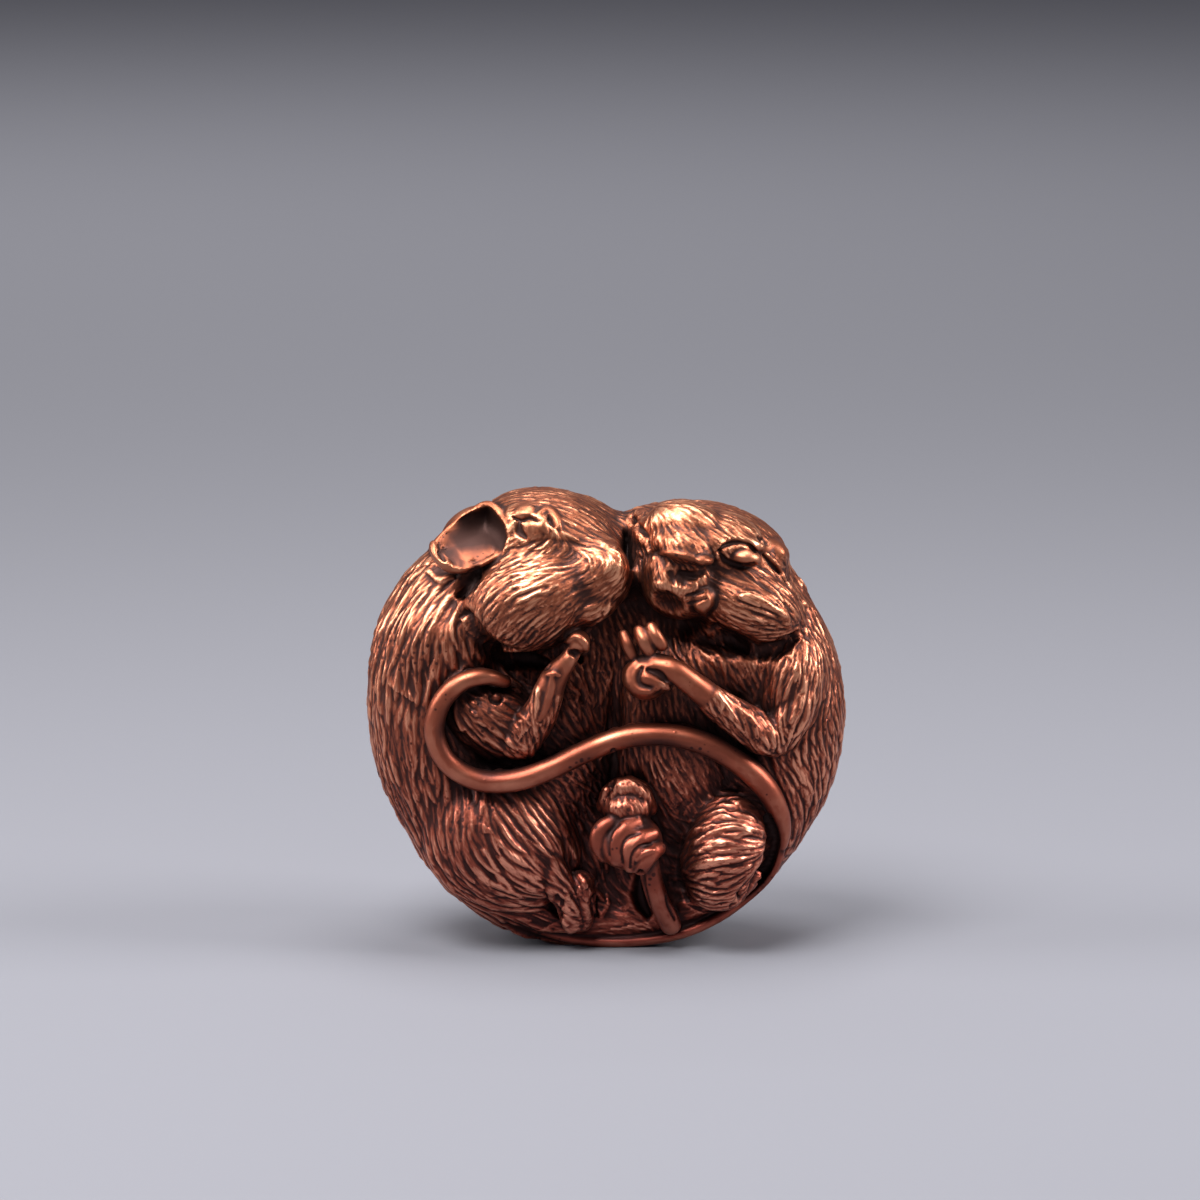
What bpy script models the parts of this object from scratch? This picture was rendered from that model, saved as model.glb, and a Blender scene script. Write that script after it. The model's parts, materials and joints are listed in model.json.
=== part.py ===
"""Two sleeping mice, curled face to face in one round bronze casting.

Metres, +Z up. The front faces -Y. The casting stands on a small flat at the
bottom of its rim, with the middle of its box over the world origin.
"""

import math

import bmesh
import bpy
import numpy as np
from mathutils import Matrix, Vector

# Sizes that can be set by themselves
WIDTH = 0.0700
BACK_DEPTH = 0.0165
RECESS_DEPTH = 0.0095
ROLL_RADIUS = 0.0098
ROLL_PLANE = -0.0030
TAIL_THICKNESS = 0.0037
EAR_RIM = 0.0015
FOOT_CUT = 0.0010

# How finely the form is kept
BODY_GRAIN = 0.0007
BODY_SOFTENING = 14
GRAIN = 0.0005
SOFTENING = 3
MOST_FACES = 9000

BRONZE = (0.235, 0.082, 0.042, 1.0)

# The pose and the proportions below are shares of the width: one unit is a seventieth of it.
# x runs to the right, y to the back and z up from the lowest point of the round outline.
UNIT = WIDTH / 70
CENTRE_Z = 33.7

# Radius of the outline every 20 degrees, clockwise from the top as seen from the front
OUTLINE = (
    35.0, 34.9, 35.4, 34.7, 35.0, 34.6, 33.9, 34.2, 34.0,
    34.3, 34.4, 34.7, 34.0, 34.6, 35.6, 36.7, 36.0, 35.6,
)
# The dip between the two heads: its angle, its spread and its depth
DIP = (3.5, 10.5, 5.2)
CROWN_POWER = 2.3
# How full the roll of the backs is every 30 degrees, clockwise from the top
ROLL_FULLNESS = (0.70, 0.85, 1.00, 1.00, 0.85, 0.52, 0.48, 0.70, 0.95, 1.00, 0.95, 0.80)

# Round masses: centre, half sizes, and turn about y in degrees (positive is clockwise)
MASSES = {
    "left_shoulder": ((-23.0, -5.5, 46.0), (8.8, 8.6, 10.0), 8),
    "left_belly": ((-6.4, -3.8, 33.0), (8.0, 8.4, 17.0), 0),
    "left_haunch": ((-15.4, -6.0, 17.4), (12.8, 9.6, 11.4), 30),
    "right_belly": ((9.8, -3.6, 32.0), (11.2, 9.0, 18.0), 0),
    "right_chest": ((18.6, -6.0, 43.4), (12.5, 7.2, 8.0), -14),
    "right_upper_arm": ((26.6, -7.6, 40.8), (5.4, 8.2, 8.8), 8),
    "left_skull": ((-8.4, -6.0, 60.4), (11.2, 10.4, 8.2), 14),
    "left_brow": ((-9.8, -9.6, 64.2), (6.2, 6.2, 3.4), 12),
    "left_cheek": ((-10.8, -11.0, 53.6), (10.6, 9.6, 7.8), -18),
    "left_muzzle": ((-1.6, -12.4, 57.2), (5.4, 5.8, 5.8), 0),
    "right_skull": ((14.2, -5.6, 58.4), (12.4, 10.4, 8.2), 8),
    "right_muzzle": ((10.6, -11.4, 56.6), (6.0, 7.0, 6.2), 0),
    "right_cheek": ((19.8, -9.8, 53.0), (9.2, 8.2, 5.6), 27),
    "right_haunch": ((17.3, -10.0, 15.8), (6.1, 6.8, 9.0), 16),
    "left_elbow": ((-16.8, -9.6, 36.0), (8.2, 6.0, 5.8), 36),
}

# Smaller forms on top of those masses
DETAILS = {
    "right_nose": ((10.4, -18.9, 59.3), (3.8, 1.8, 1.1), 12),
    "right_nose_bridge": ((10.6, -15.8, 61.6), (2.2, 2.6, 3.4), 6),
    "right_lip_a": ((7.9, -16.4, 56.2), (2.5, 2.6, 2.5), 0),
    "right_lip_b": ((12.1, -17.0, 56.8), (2.4, 2.4, 2.1), 0),
    "right_chin": ((12.6, -16.8, 53.2), (2.7, 3.0, 2.5), 0),
    "right_eye": ((19.0, -14.2, 60.4), (2.3, 1.7, 1.3), 6),
    "right_brow": ((19.4, -13.2, 62.2), (3.4, 1.6, 0.9), 14),
    "right_ear": ((24.6, -9.0, 59.0), (2.0, 2.0, 1.9), 30),
    "right_far_ear": ((4.6, -9.4, 62.6), (1.8, 3.4, 3.8), -12),
    "left_eye": ((-9.6, -14.6, 63.9), (3.4, 2.0, 1.3), 16),
    "left_nose": ((1.8, -16.2, 57.6), (2.1, 2.2, 2.6), 0),
    "left_ear_back": ((-20.0, -8.6, 62.0), (6.2, 3.2, 4.6), -38),
    "left_paw": ((-4.5, -17.8, 47.9), (2.1, 2.2, 2.2), 0),
    "right_fist": ((6.0, -16.4, 42.7), (2.9, 2.8, 3.1), 0),
    "upper_foot": ((2.8, -11.6, 23.4), (4.0, 3.4, 3.2), 0),
    "lower_foot": ((3.4, -12.8, 18.0), (4.5, 4.6, 3.8), 0),
}

# Limbs: points along each one as x, y, z and radius, and how far behind it a second bar ties it to the body
LIMBS = {
    "right_forearm": (
        ((7.4, -18.0, 44.6, 1.8), (10.0, -18.2, 43.2, 1.9), (13.6, -17.4, 40.6, 2.0), (18.6, -15.8, 36.8, 2.6),
         (23.4, -14.0, 33.6, 3.3)), 0.9,
    ),
    "right_tuft": (((24.2, -13.6, 33.6, 3.1), (27.0, -13.0, 37.4, 3.0), (28.2, -11.8, 42.4, 2.8)), 0.0),
    "left_forearm": (
        ((-4.6, -17.8, 47.6, 1.7), (-6.2, -17.2, 45.2, 1.9), (-8.2, -16.2, 41.8, 2.3), (-9.6, -14.8, 38.0, 2.6),
         (-12.0, -12.6, 34.0, 3.8)), 0.9,
    ),
    "finger_a": (((0.7, -15.6, 49.8, 1.0), (1.8, -16.2, 48.2, 1.1), (3.0, -15.8, 46.4, 1.0)), 0.0),
    "finger_b": (((3.2, -16.2, 50.6, 1.0), (4.4, -17.0, 48.8, 1.1), (5.6, -16.6, 47.0, 1.0)), 0.0),
    "finger_c": (((5.7, -16.6, 50.9, 1.0), (6.7, -17.2, 49.5, 1.0), (7.6, -16.8, 48.1, 1.0)), 0.0),
    "left_tail": (((6.2, -15.2, 16.4, 1.8), (6.8, -14.4, 12.0, 1.9), (7.9, -12.2, 7.8, 1.9), (9.2, -9.4, 4.2, 1.9)), 0.9),
    "left_hind_foot": (((-7.4, -11.2, 13.6, 2.8), (-5.6, -11.4, 9.4, 2.2), (-4.3, -10.2, 5.6, 1.6)), 0.9),
    "left_hind_toe": (((-4.6, -11.2, 10.6, 2.0), (-2.6, -10.8, 7.6, 1.6), (-1.7, -10.0, 5.8, 1.3)), 0.9),
    "toe_a": (((1.2, -14.0, 21.8, 1.0), (-1.2, -15.2, 20.6, 1.2), (-2.0, -15.2, 18.2, 1.2), (-1.2, -14.0, 15.8, 1.0)), 0.0),
    "toe_b": (((4.0, -15.4, 21.8, 1.0), (2.0, -17.0, 20.8, 1.1), (0.8, -17.0, 18.6, 1.1), (0.9, -15.8, 16.4, 1.0)), 0.0),
    "toe_c": (((6.6, -16.2, 20.2, 1.0), (4.6, -18.0, 20.0, 1.1), (3.0, -18.2, 18.0, 1.1), (2.6, -16.9, 15.5, 1.0)), 0.0),
    "toe_d": (((8.0, -16.0, 17.9, 1.1), (6.6, -18.2, 17.4, 1.2), (5.4, -18.3, 15.4, 1.2), (5.0, -16.6, 13.4, 1.0)), 0.0),
    "upper_toe": (
        ((-0.6, -13.0, 23.6, 0.9), (0.5, -14.4, 25.8, 1.0), (2.9, -15.0, 26.7, 1.0), (5.1, -14.6, 25.2, 1.0),
         (6.0, -13.4, 22.6, 0.9)), 0.0,
    ),
}

# The tail of the right mouse, from its tip over both bellies and down the rim: x, y, z and share of thickness
TAIL = (
    (-14.8, -13.6, 41.6, 0.60), (-17.8, -15.0, 42.6, 0.76), (-21.2, -15.4, 41.7, 0.84), (-24.0, -15.2, 38.7, 0.90),
    (-25.0, -14.8, 34.4, 0.92), (-23.2, -14.6, 30.0, 0.94), (-19.0, -14.8, 27.4, 0.97), (-14.0, -15.0, 27.2, 1.00),
    (-8.8, -15.0, 28.8, 1.00), (-3.4, -14.8, 31.4, 1.00), (2.5, -14.8, 33.6, 1.00), (8.6, -14.8, 34.0, 1.02),
    (14.5, -14.8, 32.5, 1.05), (19.6, -14.4, 29.5, 1.08), (23.3, -13.6, 25.6, 1.08), (25.6, -12.4, 21.0, 1.06),
    (25.9, -11.0, 15.9, 1.04), (23.8, -9.8, 10.6, 1.02), (19.3, -8.8, 6.0, 1.02), (13.0, -8.0, 3.0, 1.02),
    (5.4, -7.6, 1.7, 1.00), (-2.4, -7.4, 1.6, 0.96), (-9.4, -7.0, 2.6, 0.84), (-14.4, -6.4, 4.4, 0.70),
)

# The open ear of the left mouse: its rim as a closed loop, and the bowl inside it
EAR_LOOP = (
    (-17.4, -9.6, 66.4), (-15.0, -12.4, 64.2), (-15.6, -14.6, 61.0), (-18.6, -15.4, 58.8),
    (-22.4, -14.6, 58.6), (-24.6, -12.6, 60.6), (-23.2, -10.2, 63.8), (-20.4, -9.0, 66.0),
)
EAR_BOWL = ((-19.8, -13.6, 62.2), (4.6, 4.6, 3.1), -36)

# Hollows pressed into the masses from the front, before the limbs go on: centre, half sizes and turn
BODY_HOLLOWS = {
    "between_heads": ((2.9, -14.0, 61.2), (1.0, 8.0, 5.0), 0),
    "between_bodies": ((0.8, -11.6, 34.0), (1.6, 3.4, 13.0), 3),
    "under_left_jaw": ((-12.6, -13.0, 43.4), (6.4, 4.6, 3.0), -14),
    "under_right_jaw": ((15.0, -14.0, 47.0), (6.0, 4.0, 1.8), 12),
    "between_feet": ((1.0, -10.4, 9.4), (4.6, 4.6, 6.0), 0),
}

# Hollows pressed in last
HOLLOWS = {
    "under_nose_a": ((7.4, -18.4, 57.9), (1.5, 2.2, 0.8), 10),
    "under_nose_b": ((12.9, -18.8, 57.7), (1.5, 2.2, 0.7), 10),
    "mouth": ((9.9, -17.6, 54.3), (0.9, 2.4, 2.0), 0),
}


def clear_scene():
    for thing in list(bpy.data.objects):
        bpy.data.objects.remove(thing)


def between(a, b, c, d, t):
    """A smooth value a share t of the way from b to c, with a and d as their neighbours."""
    return b + 0.5 * t * (c - a + t * (2 * a - 5 * b + 4 * c - d + t * (3 * (b - c) + d - a)))


def round_the_rim(values, angle):
    """Smooth value at an angle clockwise from the top, from values spaced evenly round the rim."""
    place = math.degrees(angle) % 360 / 360 * len(values)
    first = int(place)
    near = [values[(first + step) % len(values)] for step in (-1, 0, 1, 2)]
    return between(*near, place - first)


def outline_radius(angle):
    """Radius of the outline at an angle clockwise from the top, in units."""
    dip_angle, dip_spread, dip_depth = DIP
    away = (math.degrees(angle) - dip_angle + 180) % 360 - 180
    return round_the_rim(OUTLINE, angle) - dip_depth * math.exp(-((away / dip_spread) ** 2))


def smooth_path(stations, closed=False):
    """Points along a smooth curve through the stations, about one for each third of its thickness."""
    points = [Vector(station) for station in stations]
    if closed:
        points = [points[-1], *points, points[0], points[1]]
    else:
        points = [points[0] * 2 - points[1], *points, points[-1] * 2 - points[-2]]
    path = []
    for a, b, c, d in zip(points, points[1:], points[2:], points[3:]):
        steps = max(2, math.ceil((c - b).to_3d().length / max(0.4, 0.6 * b[3])))
        path += [between(a, b, c, d, step / steps) for step in range(steps)]
    return path if closed else [*path, points[-2]]


def mesh_object(name, mesh):
    made = bpy.data.objects.new(name, mesh)
    bpy.context.scene.collection.objects.link(made)
    return made


def lens(name):
    """The body that both mice share: a domed back, the true outline, and a shallow front."""
    form = bmesh.new()
    bmesh.ops.create_uvsphere(
        form, u_segments=96, v_segments=48, radius=1, matrix=Matrix.Rotation(math.radians(90), 4, "X")
    )
    for vert in form.verts:
        x, y, z = vert.co
        across = min(1.0, math.hypot(x, z))
        reach = outline_radius(math.atan2(x, z)) * UNIT * across**0.92
        depth = BACK_DEPTH if y > 0 else RECESS_DEPTH
        crown = math.copysign(max(0.0, 1 - across**CROWN_POWER) ** 0.5, y) * depth
        away = max(across, 1e-9)
        vert.co = (x / away * reach, crown, z / away * reach + CENTRE_Z * UNIT)
    mesh = bpy.data.meshes.new(name)
    form.to_mesh(mesh)
    form.free()
    return mesh_object(name, mesh)


def ellipsoids(name, table):
    form = bmesh.new()
    for centre, half, turn in table.values():
        place = Matrix.Translation(Vector(centre) * UNIT)
        size = Matrix.Diagonal((*(Vector(half) * UNIT), 1))
        turned = place @ Matrix.Rotation(math.radians(turn), 4, "Y") @ size
        bmesh.ops.create_icosphere(form, subdivisions=4, radius=1, matrix=turned)
    mesh = bpy.data.meshes.new(name)
    form.to_mesh(mesh)
    form.free()
    return mesh_object(name, mesh)


def tube(name, path, closed=False):
    """A round bar along a path of metres, with a radius at each point and a ball on each open end."""
    curve = bpy.data.curves.new(name, "CURVE")
    curve.dimensions = "3D"
    curve.bevel_depth = 1
    curve.bevel_resolution = 5
    curve.use_fill_caps = not closed
    spline = curve.splines.new("POLY")
    spline.points.add(len(path) - 1)
    spline.use_cyclic_u = closed
    for point, (x, y, z, radius) in zip(spline.points, path):
        point.co = (x, y, z, 1)
        point.radius = radius
    guide = mesh_object(name + "_guide", curve)
    form = bmesh.new()
    form.from_mesh(bpy.data.meshes.new_from_object(guide))
    bpy.data.objects.remove(guide)
    for x, y, z, radius in () if closed else (path[0], path[-1]):
        bmesh.ops.create_icosphere(form, subdivisions=3, radius=radius, matrix=Matrix.Translation((x, y, z)))
    mesh = bpy.data.meshes.new(name)
    form.to_mesh(mesh)
    form.free()
    return mesh_object(name, mesh)


def limb(name, stations, closed=False, backed=0.0):
    """A tube through stations in units. The backing is a second tube behind it, so that it grows from the body."""
    path = [point * UNIT for point in smooth_path(stations, closed)]
    made = [tube(name, path, closed)]
    if backed:
        behind = [Vector((x, y + backed * radius, z, 0.85 * radius)) for x, y, z, radius in path]
        made.append(tube(name + "_backing", behind, closed))
    return made


def back_roll():
    """The roll of the two curled backs, just inside the outline, all the way round."""
    path = []
    for step in range(72):
        angle = math.radians(5 * step)
        radius = ROLL_RADIUS * round_the_rim(ROLL_FULLNESS, angle)
        reach = outline_radius(angle) * UNIT - radius
        path.append((math.sin(angle) * reach, ROLL_PLANE, math.cos(angle) * reach + CENTRE_Z * UNIT, radius))
    return tube("back_roll", path, closed=True)


def joined(name, parts):
    """One object holding every part's faces; the parts themselves are removed."""
    form = bmesh.new()
    for part in parts:
        form.from_mesh(part.data)
        bpy.data.objects.remove(part)
    mesh = bpy.data.meshes.new(name)
    form.to_mesh(mesh)
    form.free()
    return mesh_object(name, mesh)


def applied(obj):
    """The object with its modifiers made part of its mesh."""
    graph = bpy.context.evaluated_depsgraph_get()
    mesh = bpy.data.meshes.new_from_object(obj.evaluated_get(graph))
    obj.modifiers.clear()
    obj.data = mesh
    return obj


def fused(name, parts, grain, softening):
    """The parts run together into one skin, with the seams between them softened."""
    whole = joined(name, parts)
    skin = whole.modifiers.new("skin", "REMESH")
    skin.mode = "VOXEL"
    skin.voxel_size = grain
    soften = whole.modifiers.new("soften", "SMOOTH")
    soften.factor = 0.5
    soften.iterations = softening
    return applied(whole)


def keep_outer_shell(obj):
    """Drops every closed shell but the largest one."""
    form = bmesh.new()
    form.from_mesh(obj.data)
    unseen = set(form.verts)
    shells = []
    while unseen:
        shell = set()
        front = {unseen.pop()}
        while front:
            shell |= front
            front = {edge.other_vert(vert) for vert in front for edge in vert.link_edges} & unseen
            unseen -= front
        shells.append(shell)
    shells.sort(key=len)
    for shell in shells[:-1]:
        bmesh.ops.delete(form, geom=list(shell), context="VERTS")
    form.to_mesh(obj.data)
    form.free()


def press_hollows(obj, hollows):
    """Pushes the front skin back to the far side of each hollow's ellipsoid."""
    mesh = obj.data
    points = np.empty(len(mesh.vertices) * 3)
    mesh.vertices.foreach_get("co", points)
    points = points.reshape(-1, 3)
    for centre, half, turn in hollows:
        middle = np.array(centre) * UNIT
        width, depth, height = (value * UNIT for value in half)
        cos, sin = math.cos(math.radians(turn)), math.sin(math.radians(turn))
        right, up = points[:, 0] - middle[0], points[:, 2] - middle[2]
        inside = 1 - ((right * cos - up * sin) / width) ** 2 - ((right * sin + up * cos) / height) ** 2
        floor = middle[1] + depth * np.sqrt(np.maximum(inside, 0))
        pressed = (inside > 0) & (points[:, 1] < floor)
        points[pressed, 1] = floor[pressed]
    mesh.vertices.foreach_set("co", points.ravel())
    mesh.update()


def cut_foot(obj, height):
    """Cuts the form flat at a height and closes the cut."""
    form = bmesh.new()
    form.from_mesh(obj.data)
    everything = form.verts[:] + form.edges[:] + form.faces[:]
    cut = bmesh.ops.bisect_plane(form, geom=everything, plane_co=(0, 0, height), plane_no=(0, 0, 1), clear_inner=True)
    edges = [item for item in cut["geom_cut"] if isinstance(item, bmesh.types.BMEdge)]
    bmesh.ops.holes_fill(form, edges=edges, sides=0)
    bmesh.ops.triangulate(form, faces=form.faces[:])
    bmesh.ops.recalc_face_normals(form, faces=form.faces[:])
    form.to_mesh(obj.data)
    form.free()


def stand_on_origin(obj):
    """Moves the mesh so that the middle of its box, at its lowest point, is the origin."""
    corners = np.array([vert.co for vert in obj.data.vertices])
    low, high = corners.min(0), corners.max(0)
    obj.data.transform(Matrix.Translation((-(low[0] + high[0]) / 2, -(low[1] + high[1]) / 2, -low[2])))


def bronze():
    """Cast bronze with a warm brown patina, rubbed on the high places."""
    made = bpy.data.materials.new("bronze")
    made.use_nodes = True
    shader = made.node_tree.nodes["Principled BSDF"]
    shader.inputs["Base Color"].default_value = BRONZE
    shader.inputs["Metallic"].default_value = 0.8
    shader.inputs["Roughness"].default_value = 0.42
    return made


def mice_casting():
    """The whole casting: soft masses first, then limbs, ear and tail, then hollows, and the foot last."""
    body = fused("body", [lens("lens"), back_roll(), ellipsoids("masses", MASSES)], BODY_GRAIN, BODY_SOFTENING)
    press_hollows(body, BODY_HOLLOWS.values())
    parts = [body, ellipsoids("details", DETAILS)]
    for name, (stations, backed) in LIMBS.items():
        parts += limb(name, stations, backed=backed)
    half_tail = TAIL_THICKNESS / 2 / UNIT
    parts += limb("tail", [(x, y, z, share * half_tail) for x, y, z, share in TAIL], backed=0.9)
    rim = EAR_RIM / 2 / UNIT
    parts += limb("ear_rim", [(x, y, z, rim) for x, y, z in EAR_LOOP], closed=True, backed=0.9)
    whole = fused("mice_casting", parts, GRAIN, SOFTENING)
    keep_outer_shell(whole)
    press_hollows(whole, [EAR_BOWL, *HOLLOWS.values()])
    thin = whole.modifiers.new("thin", "DECIMATE")
    thin.ratio = MOST_FACES / sum(len(face.vertices) - 2 for face in whole.data.polygons)
    applied(whole)
    lowest = min(vert.co.z for vert in whole.data.vertices)
    cut_foot(whole, lowest + FOOT_CUT)
    stand_on_origin(whole)
    whole.data.materials.clear()
    whole.data.materials.append(bronze())
    whole.data.shade_smooth()
    return whole


clear_scene()
mice_casting()
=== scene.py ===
# %% [markdown]
# # Two sleeping mice in bronze
#
# The real object is one bronze casting, about as big as a bun: two mice asleep,
# curled face to face into one round form. A sculptor modelled it in wax, drew
# the fur with a small tool, and a foundry cast it and coloured it with a patina.
# This lesson follows the same order: rough masses, limbs, faces, fur, patina.
# It starts from the plain solid that stands for the casting, which gives the size.

# %% Load the solid
import json
import math

import bpy
import numpy as np
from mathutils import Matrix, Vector, kdtree
from mathutils.bvhtree import BVHTree

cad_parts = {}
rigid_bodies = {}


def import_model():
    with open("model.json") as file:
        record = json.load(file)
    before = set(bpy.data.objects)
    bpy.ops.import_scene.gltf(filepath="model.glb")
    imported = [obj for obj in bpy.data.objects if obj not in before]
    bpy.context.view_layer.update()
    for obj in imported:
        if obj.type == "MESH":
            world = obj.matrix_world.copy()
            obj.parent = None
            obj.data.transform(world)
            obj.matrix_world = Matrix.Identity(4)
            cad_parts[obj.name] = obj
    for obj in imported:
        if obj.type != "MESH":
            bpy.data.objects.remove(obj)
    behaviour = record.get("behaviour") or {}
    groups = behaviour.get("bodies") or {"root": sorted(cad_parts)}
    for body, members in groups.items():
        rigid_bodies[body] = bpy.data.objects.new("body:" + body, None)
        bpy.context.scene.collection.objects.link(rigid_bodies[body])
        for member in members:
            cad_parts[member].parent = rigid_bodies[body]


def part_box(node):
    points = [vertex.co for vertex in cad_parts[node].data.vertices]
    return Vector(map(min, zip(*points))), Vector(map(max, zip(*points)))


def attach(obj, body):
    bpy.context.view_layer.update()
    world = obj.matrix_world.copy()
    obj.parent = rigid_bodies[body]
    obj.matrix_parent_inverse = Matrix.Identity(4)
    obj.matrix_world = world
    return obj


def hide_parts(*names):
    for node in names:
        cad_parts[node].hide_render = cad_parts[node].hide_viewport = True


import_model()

for leftover in ("Cube", "Light", "Camera"):
    if leftover in bpy.data.objects:
        bpy.data.objects.remove(bpy.data.objects[leftover])
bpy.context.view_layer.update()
solid_low, solid_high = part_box("mice_casting")
print("solid, mm:", [round(1000 * (high - low), 1) for low, high in zip(solid_low, solid_high)])

# %% [markdown]
# ## Sizes
#
# A figure is easiest to pose in shares of its own width. One unit here is a
# seventieth of the width, so the numbers read as millimetres on this casting.
# x runs to the right, y to the back, and z up from the lowest point of the
# round outline. The same sizes shape the plain solid, so the two agree.

# %% Sizes that can be set by themselves, in metres
# The tail is thinner here than in the solid, because the solid's is too thick for the photograph.
WIDTH = 0.0700
BACK_DEPTH = 0.0165
RECESS_DEPTH = 0.0095
ROLL_RADIUS = 0.0098
ROLL_PLANE = -0.0030
TAIL_THICKNESS = 0.0033
EAR_DEPTH = 0.0030
BACK_FURROW = 0.0008
FOOT_CUT = 0.0010

UNIT = WIDTH / 70
MM = 0.001
BODY_GRAIN = 0.7 * MM
BODY_SOFTENING = 14
FEATURE_GRAIN = 0.40 * MM
FEATURE_SOFTENING = 6
GRAIN = 0.21 * MM
SOFTENING = 4
MOST_TRIANGLES = 196000
print("one unit is", UNIT / MM, "mm; the skin is kept to", GRAIN / MM, "mm")

# %% [markdown]
# ## The body that both mice share
#
# Seen from the front the casting is almost a circle with a dip between the two
# heads. The outline is a radius for every 20 degrees, joined by a smooth curve.
# The back is a plain dome and the front is a shallow dish, with the two curled
# backs running round it as a thick roll.

# %% The outline
CENTRE_Z = 33.7
OUTLINE = (
    35.0, 34.9, 35.4, 34.7, 35.0, 34.6, 33.9, 34.2, 34.0,
    34.3, 34.4, 34.7, 34.0, 34.6, 35.6, 36.7, 36.0, 35.6,
)
DIP = (3.5, 10.5, 5.2)
CROWN_POWER = 2.3
REACH_POWER = 0.92
ROLL_FULLNESS = (0.70, 0.85, 1.00, 1.00, 0.85, 0.52, 0.48, 0.70, 0.95, 1.00, 0.95, 0.80)


def between(a, b, c, d, t):
    """A smooth value a share t of the way from b to c, with a and d as their neighbours."""
    return b + 0.5 * t * (c - a + t * (2 * a - 5 * b + 4 * c - d + t * (3 * (b - c) + d - a)))


def round_the_rim(values, angle):
    """Smooth value at an angle clockwise from the top, from values spaced evenly round the rim."""
    place = math.degrees(angle) % 360 / 360 * len(values)
    first = int(place)
    near = [values[(first + step) % len(values)] for step in (-1, 0, 1, 2)]
    return between(*near, place - first)


def outline_radius(angle):
    dip_angle, dip_spread, dip_depth = DIP
    away = (math.degrees(angle) - dip_angle + 180) % 360 - 180
    return round_the_rim(OUTLINE, angle) - dip_depth * math.exp(-((away / dip_spread) ** 2))


rim_samples = [round(outline_radius(math.radians(angle)), 1) for angle in (0, 90, 180)]
print("outline radius at the top, right and bottom:", rim_samples)

# %% Small helpers for objects and their points


def select_only(*objects):
    bpy.ops.object.select_all(action="DESELECT")
    for obj in objects:
        obj.select_set(True)
    bpy.context.view_layer.objects.active = objects[0]


def points_of(obj):
    points = np.empty(len(obj.data.vertices) * 3)
    obj.data.vertices.foreach_get("co", points)
    return points.reshape(-1, 3)


def set_points(obj, points):
    obj.data.vertices.foreach_set("co", np.ascontiguousarray(points, dtype=float).ravel())
    obj.data.update()


def normals_of(obj):
    normals = np.empty(len(obj.data.vertices) * 3)
    obj.data.vertex_normals.foreach_get("vector", normals)
    return normals.reshape(-1, 3)


def size_mm(obj):
    """Width, depth and height in millimetres."""
    return (np.ptp(points_of(obj), axis=0) / MM).round(2)


def apply_modifier(obj, kind, **settings):
    """Adds a modifier, sets it and applies it."""
    select_only(obj)
    modifier = obj.modifiers.new(kind.lower(), kind)
    for name, value in settings.items():
        setattr(modifier, name, value)
    bpy.ops.object.modifier_apply(modifier=modifier.name)


def join(name, objects):
    select_only(*objects)
    if len(objects) > 1:
        bpy.ops.object.join()
    objects[0].name = name
    return objects[0]


# %% The dome, the dish and the true outline


def lens():
    """A unit sphere with its poles to the front and back, moved onto the outline point by point."""
    bpy.ops.mesh.primitive_uv_sphere_add(
        segments=96, ring_count=48, radius=1, rotation=(math.radians(90), 0, 0)
    )
    made = bpy.context.object
    bpy.ops.object.transform_apply()
    x, y, z = points_of(made).T
    across = np.minimum(1, np.hypot(x, z))
    away = np.maximum(across, 1e-9)
    reach = np.array([outline_radius(angle) for angle in np.arctan2(x, z)]) * UNIT * across**REACH_POWER
    depth = np.where(y > 0, BACK_DEPTH, RECESS_DEPTH)
    crown = np.copysign(np.sqrt(np.maximum(0, 1 - across**CROWN_POWER)), y) * depth
    set_points(made, np.stack([x / away * reach, crown, z / away * reach + CENTRE_Z * UNIT], axis=1))
    return made


core = lens()
print("core, mm:", size_mm(core))

# %% [markdown]
# ## Bars for backs, limbs and tails
#
# A limb is a bar whose thickness changes along it. A curve with a round bevel
# does that: each point of the curve carries its own radius. The points come
# from a smooth curve through a few stations, so a limb is written with three to
# five places only. Two balls close the ends. Behind most bars runs a second one
# that ties the limb to the body, as in a casting, where nothing hangs free.

# %% Bars along smooth paths
SHORTEST_STEP = 0.3
STEP_IN_RADII = 0.5
BEHIND_RADIUS = 0.85
ROLL_STEPS = 72


def smooth_path(stations, closed=False):
    """Points of a smooth curve through the stations, each with the radius it has there."""
    points = [Vector(station) for station in stations]
    if closed:
        points = [points[-1], *points, points[0], points[1]]
    else:
        points = [points[0] * 2 - points[1], *points, points[-1] * 2 - points[-2]]
    path = []
    for a, b, c, d in zip(points, points[1:], points[2:], points[3:]):
        steps = max(2, math.ceil((c - b).to_3d().length / max(SHORTEST_STEP, STEP_IN_RADII * b[3])))
        path += [between(a, b, c, d, step / steps) for step in range(steps)]
    return path if closed else [*path, points[-2]]


def tube(path, closed=False):
    """A round bar along a path in metres, with a radius at each point and a ball on each open end."""
    curve = bpy.data.curves.new("bar", "CURVE")
    curve.dimensions = "3D"
    curve.bevel_depth = 1
    curve.bevel_resolution = 6
    curve.use_fill_caps = not closed
    spline = curve.splines.new("POLY")
    spline.points.add(len(path) - 1)
    spline.use_cyclic_u = closed
    for point, (x, y, z, radius) in zip(spline.points, path):
        point.co = (x, y, z, 1)
        point.radius = radius
    bar = bpy.data.objects.new("bar", curve)
    bpy.context.scene.collection.objects.link(bar)
    select_only(bar)
    bpy.ops.object.convert(target="MESH")
    parts = [bar]
    for x, y, z, radius in () if closed else (path[0], path[-1]):
        bpy.ops.mesh.primitive_ico_sphere_add(subdivisions=3, radius=radius, location=(x, y, z))
        parts.append(bpy.context.object)
    return join("bar", parts)


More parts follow.
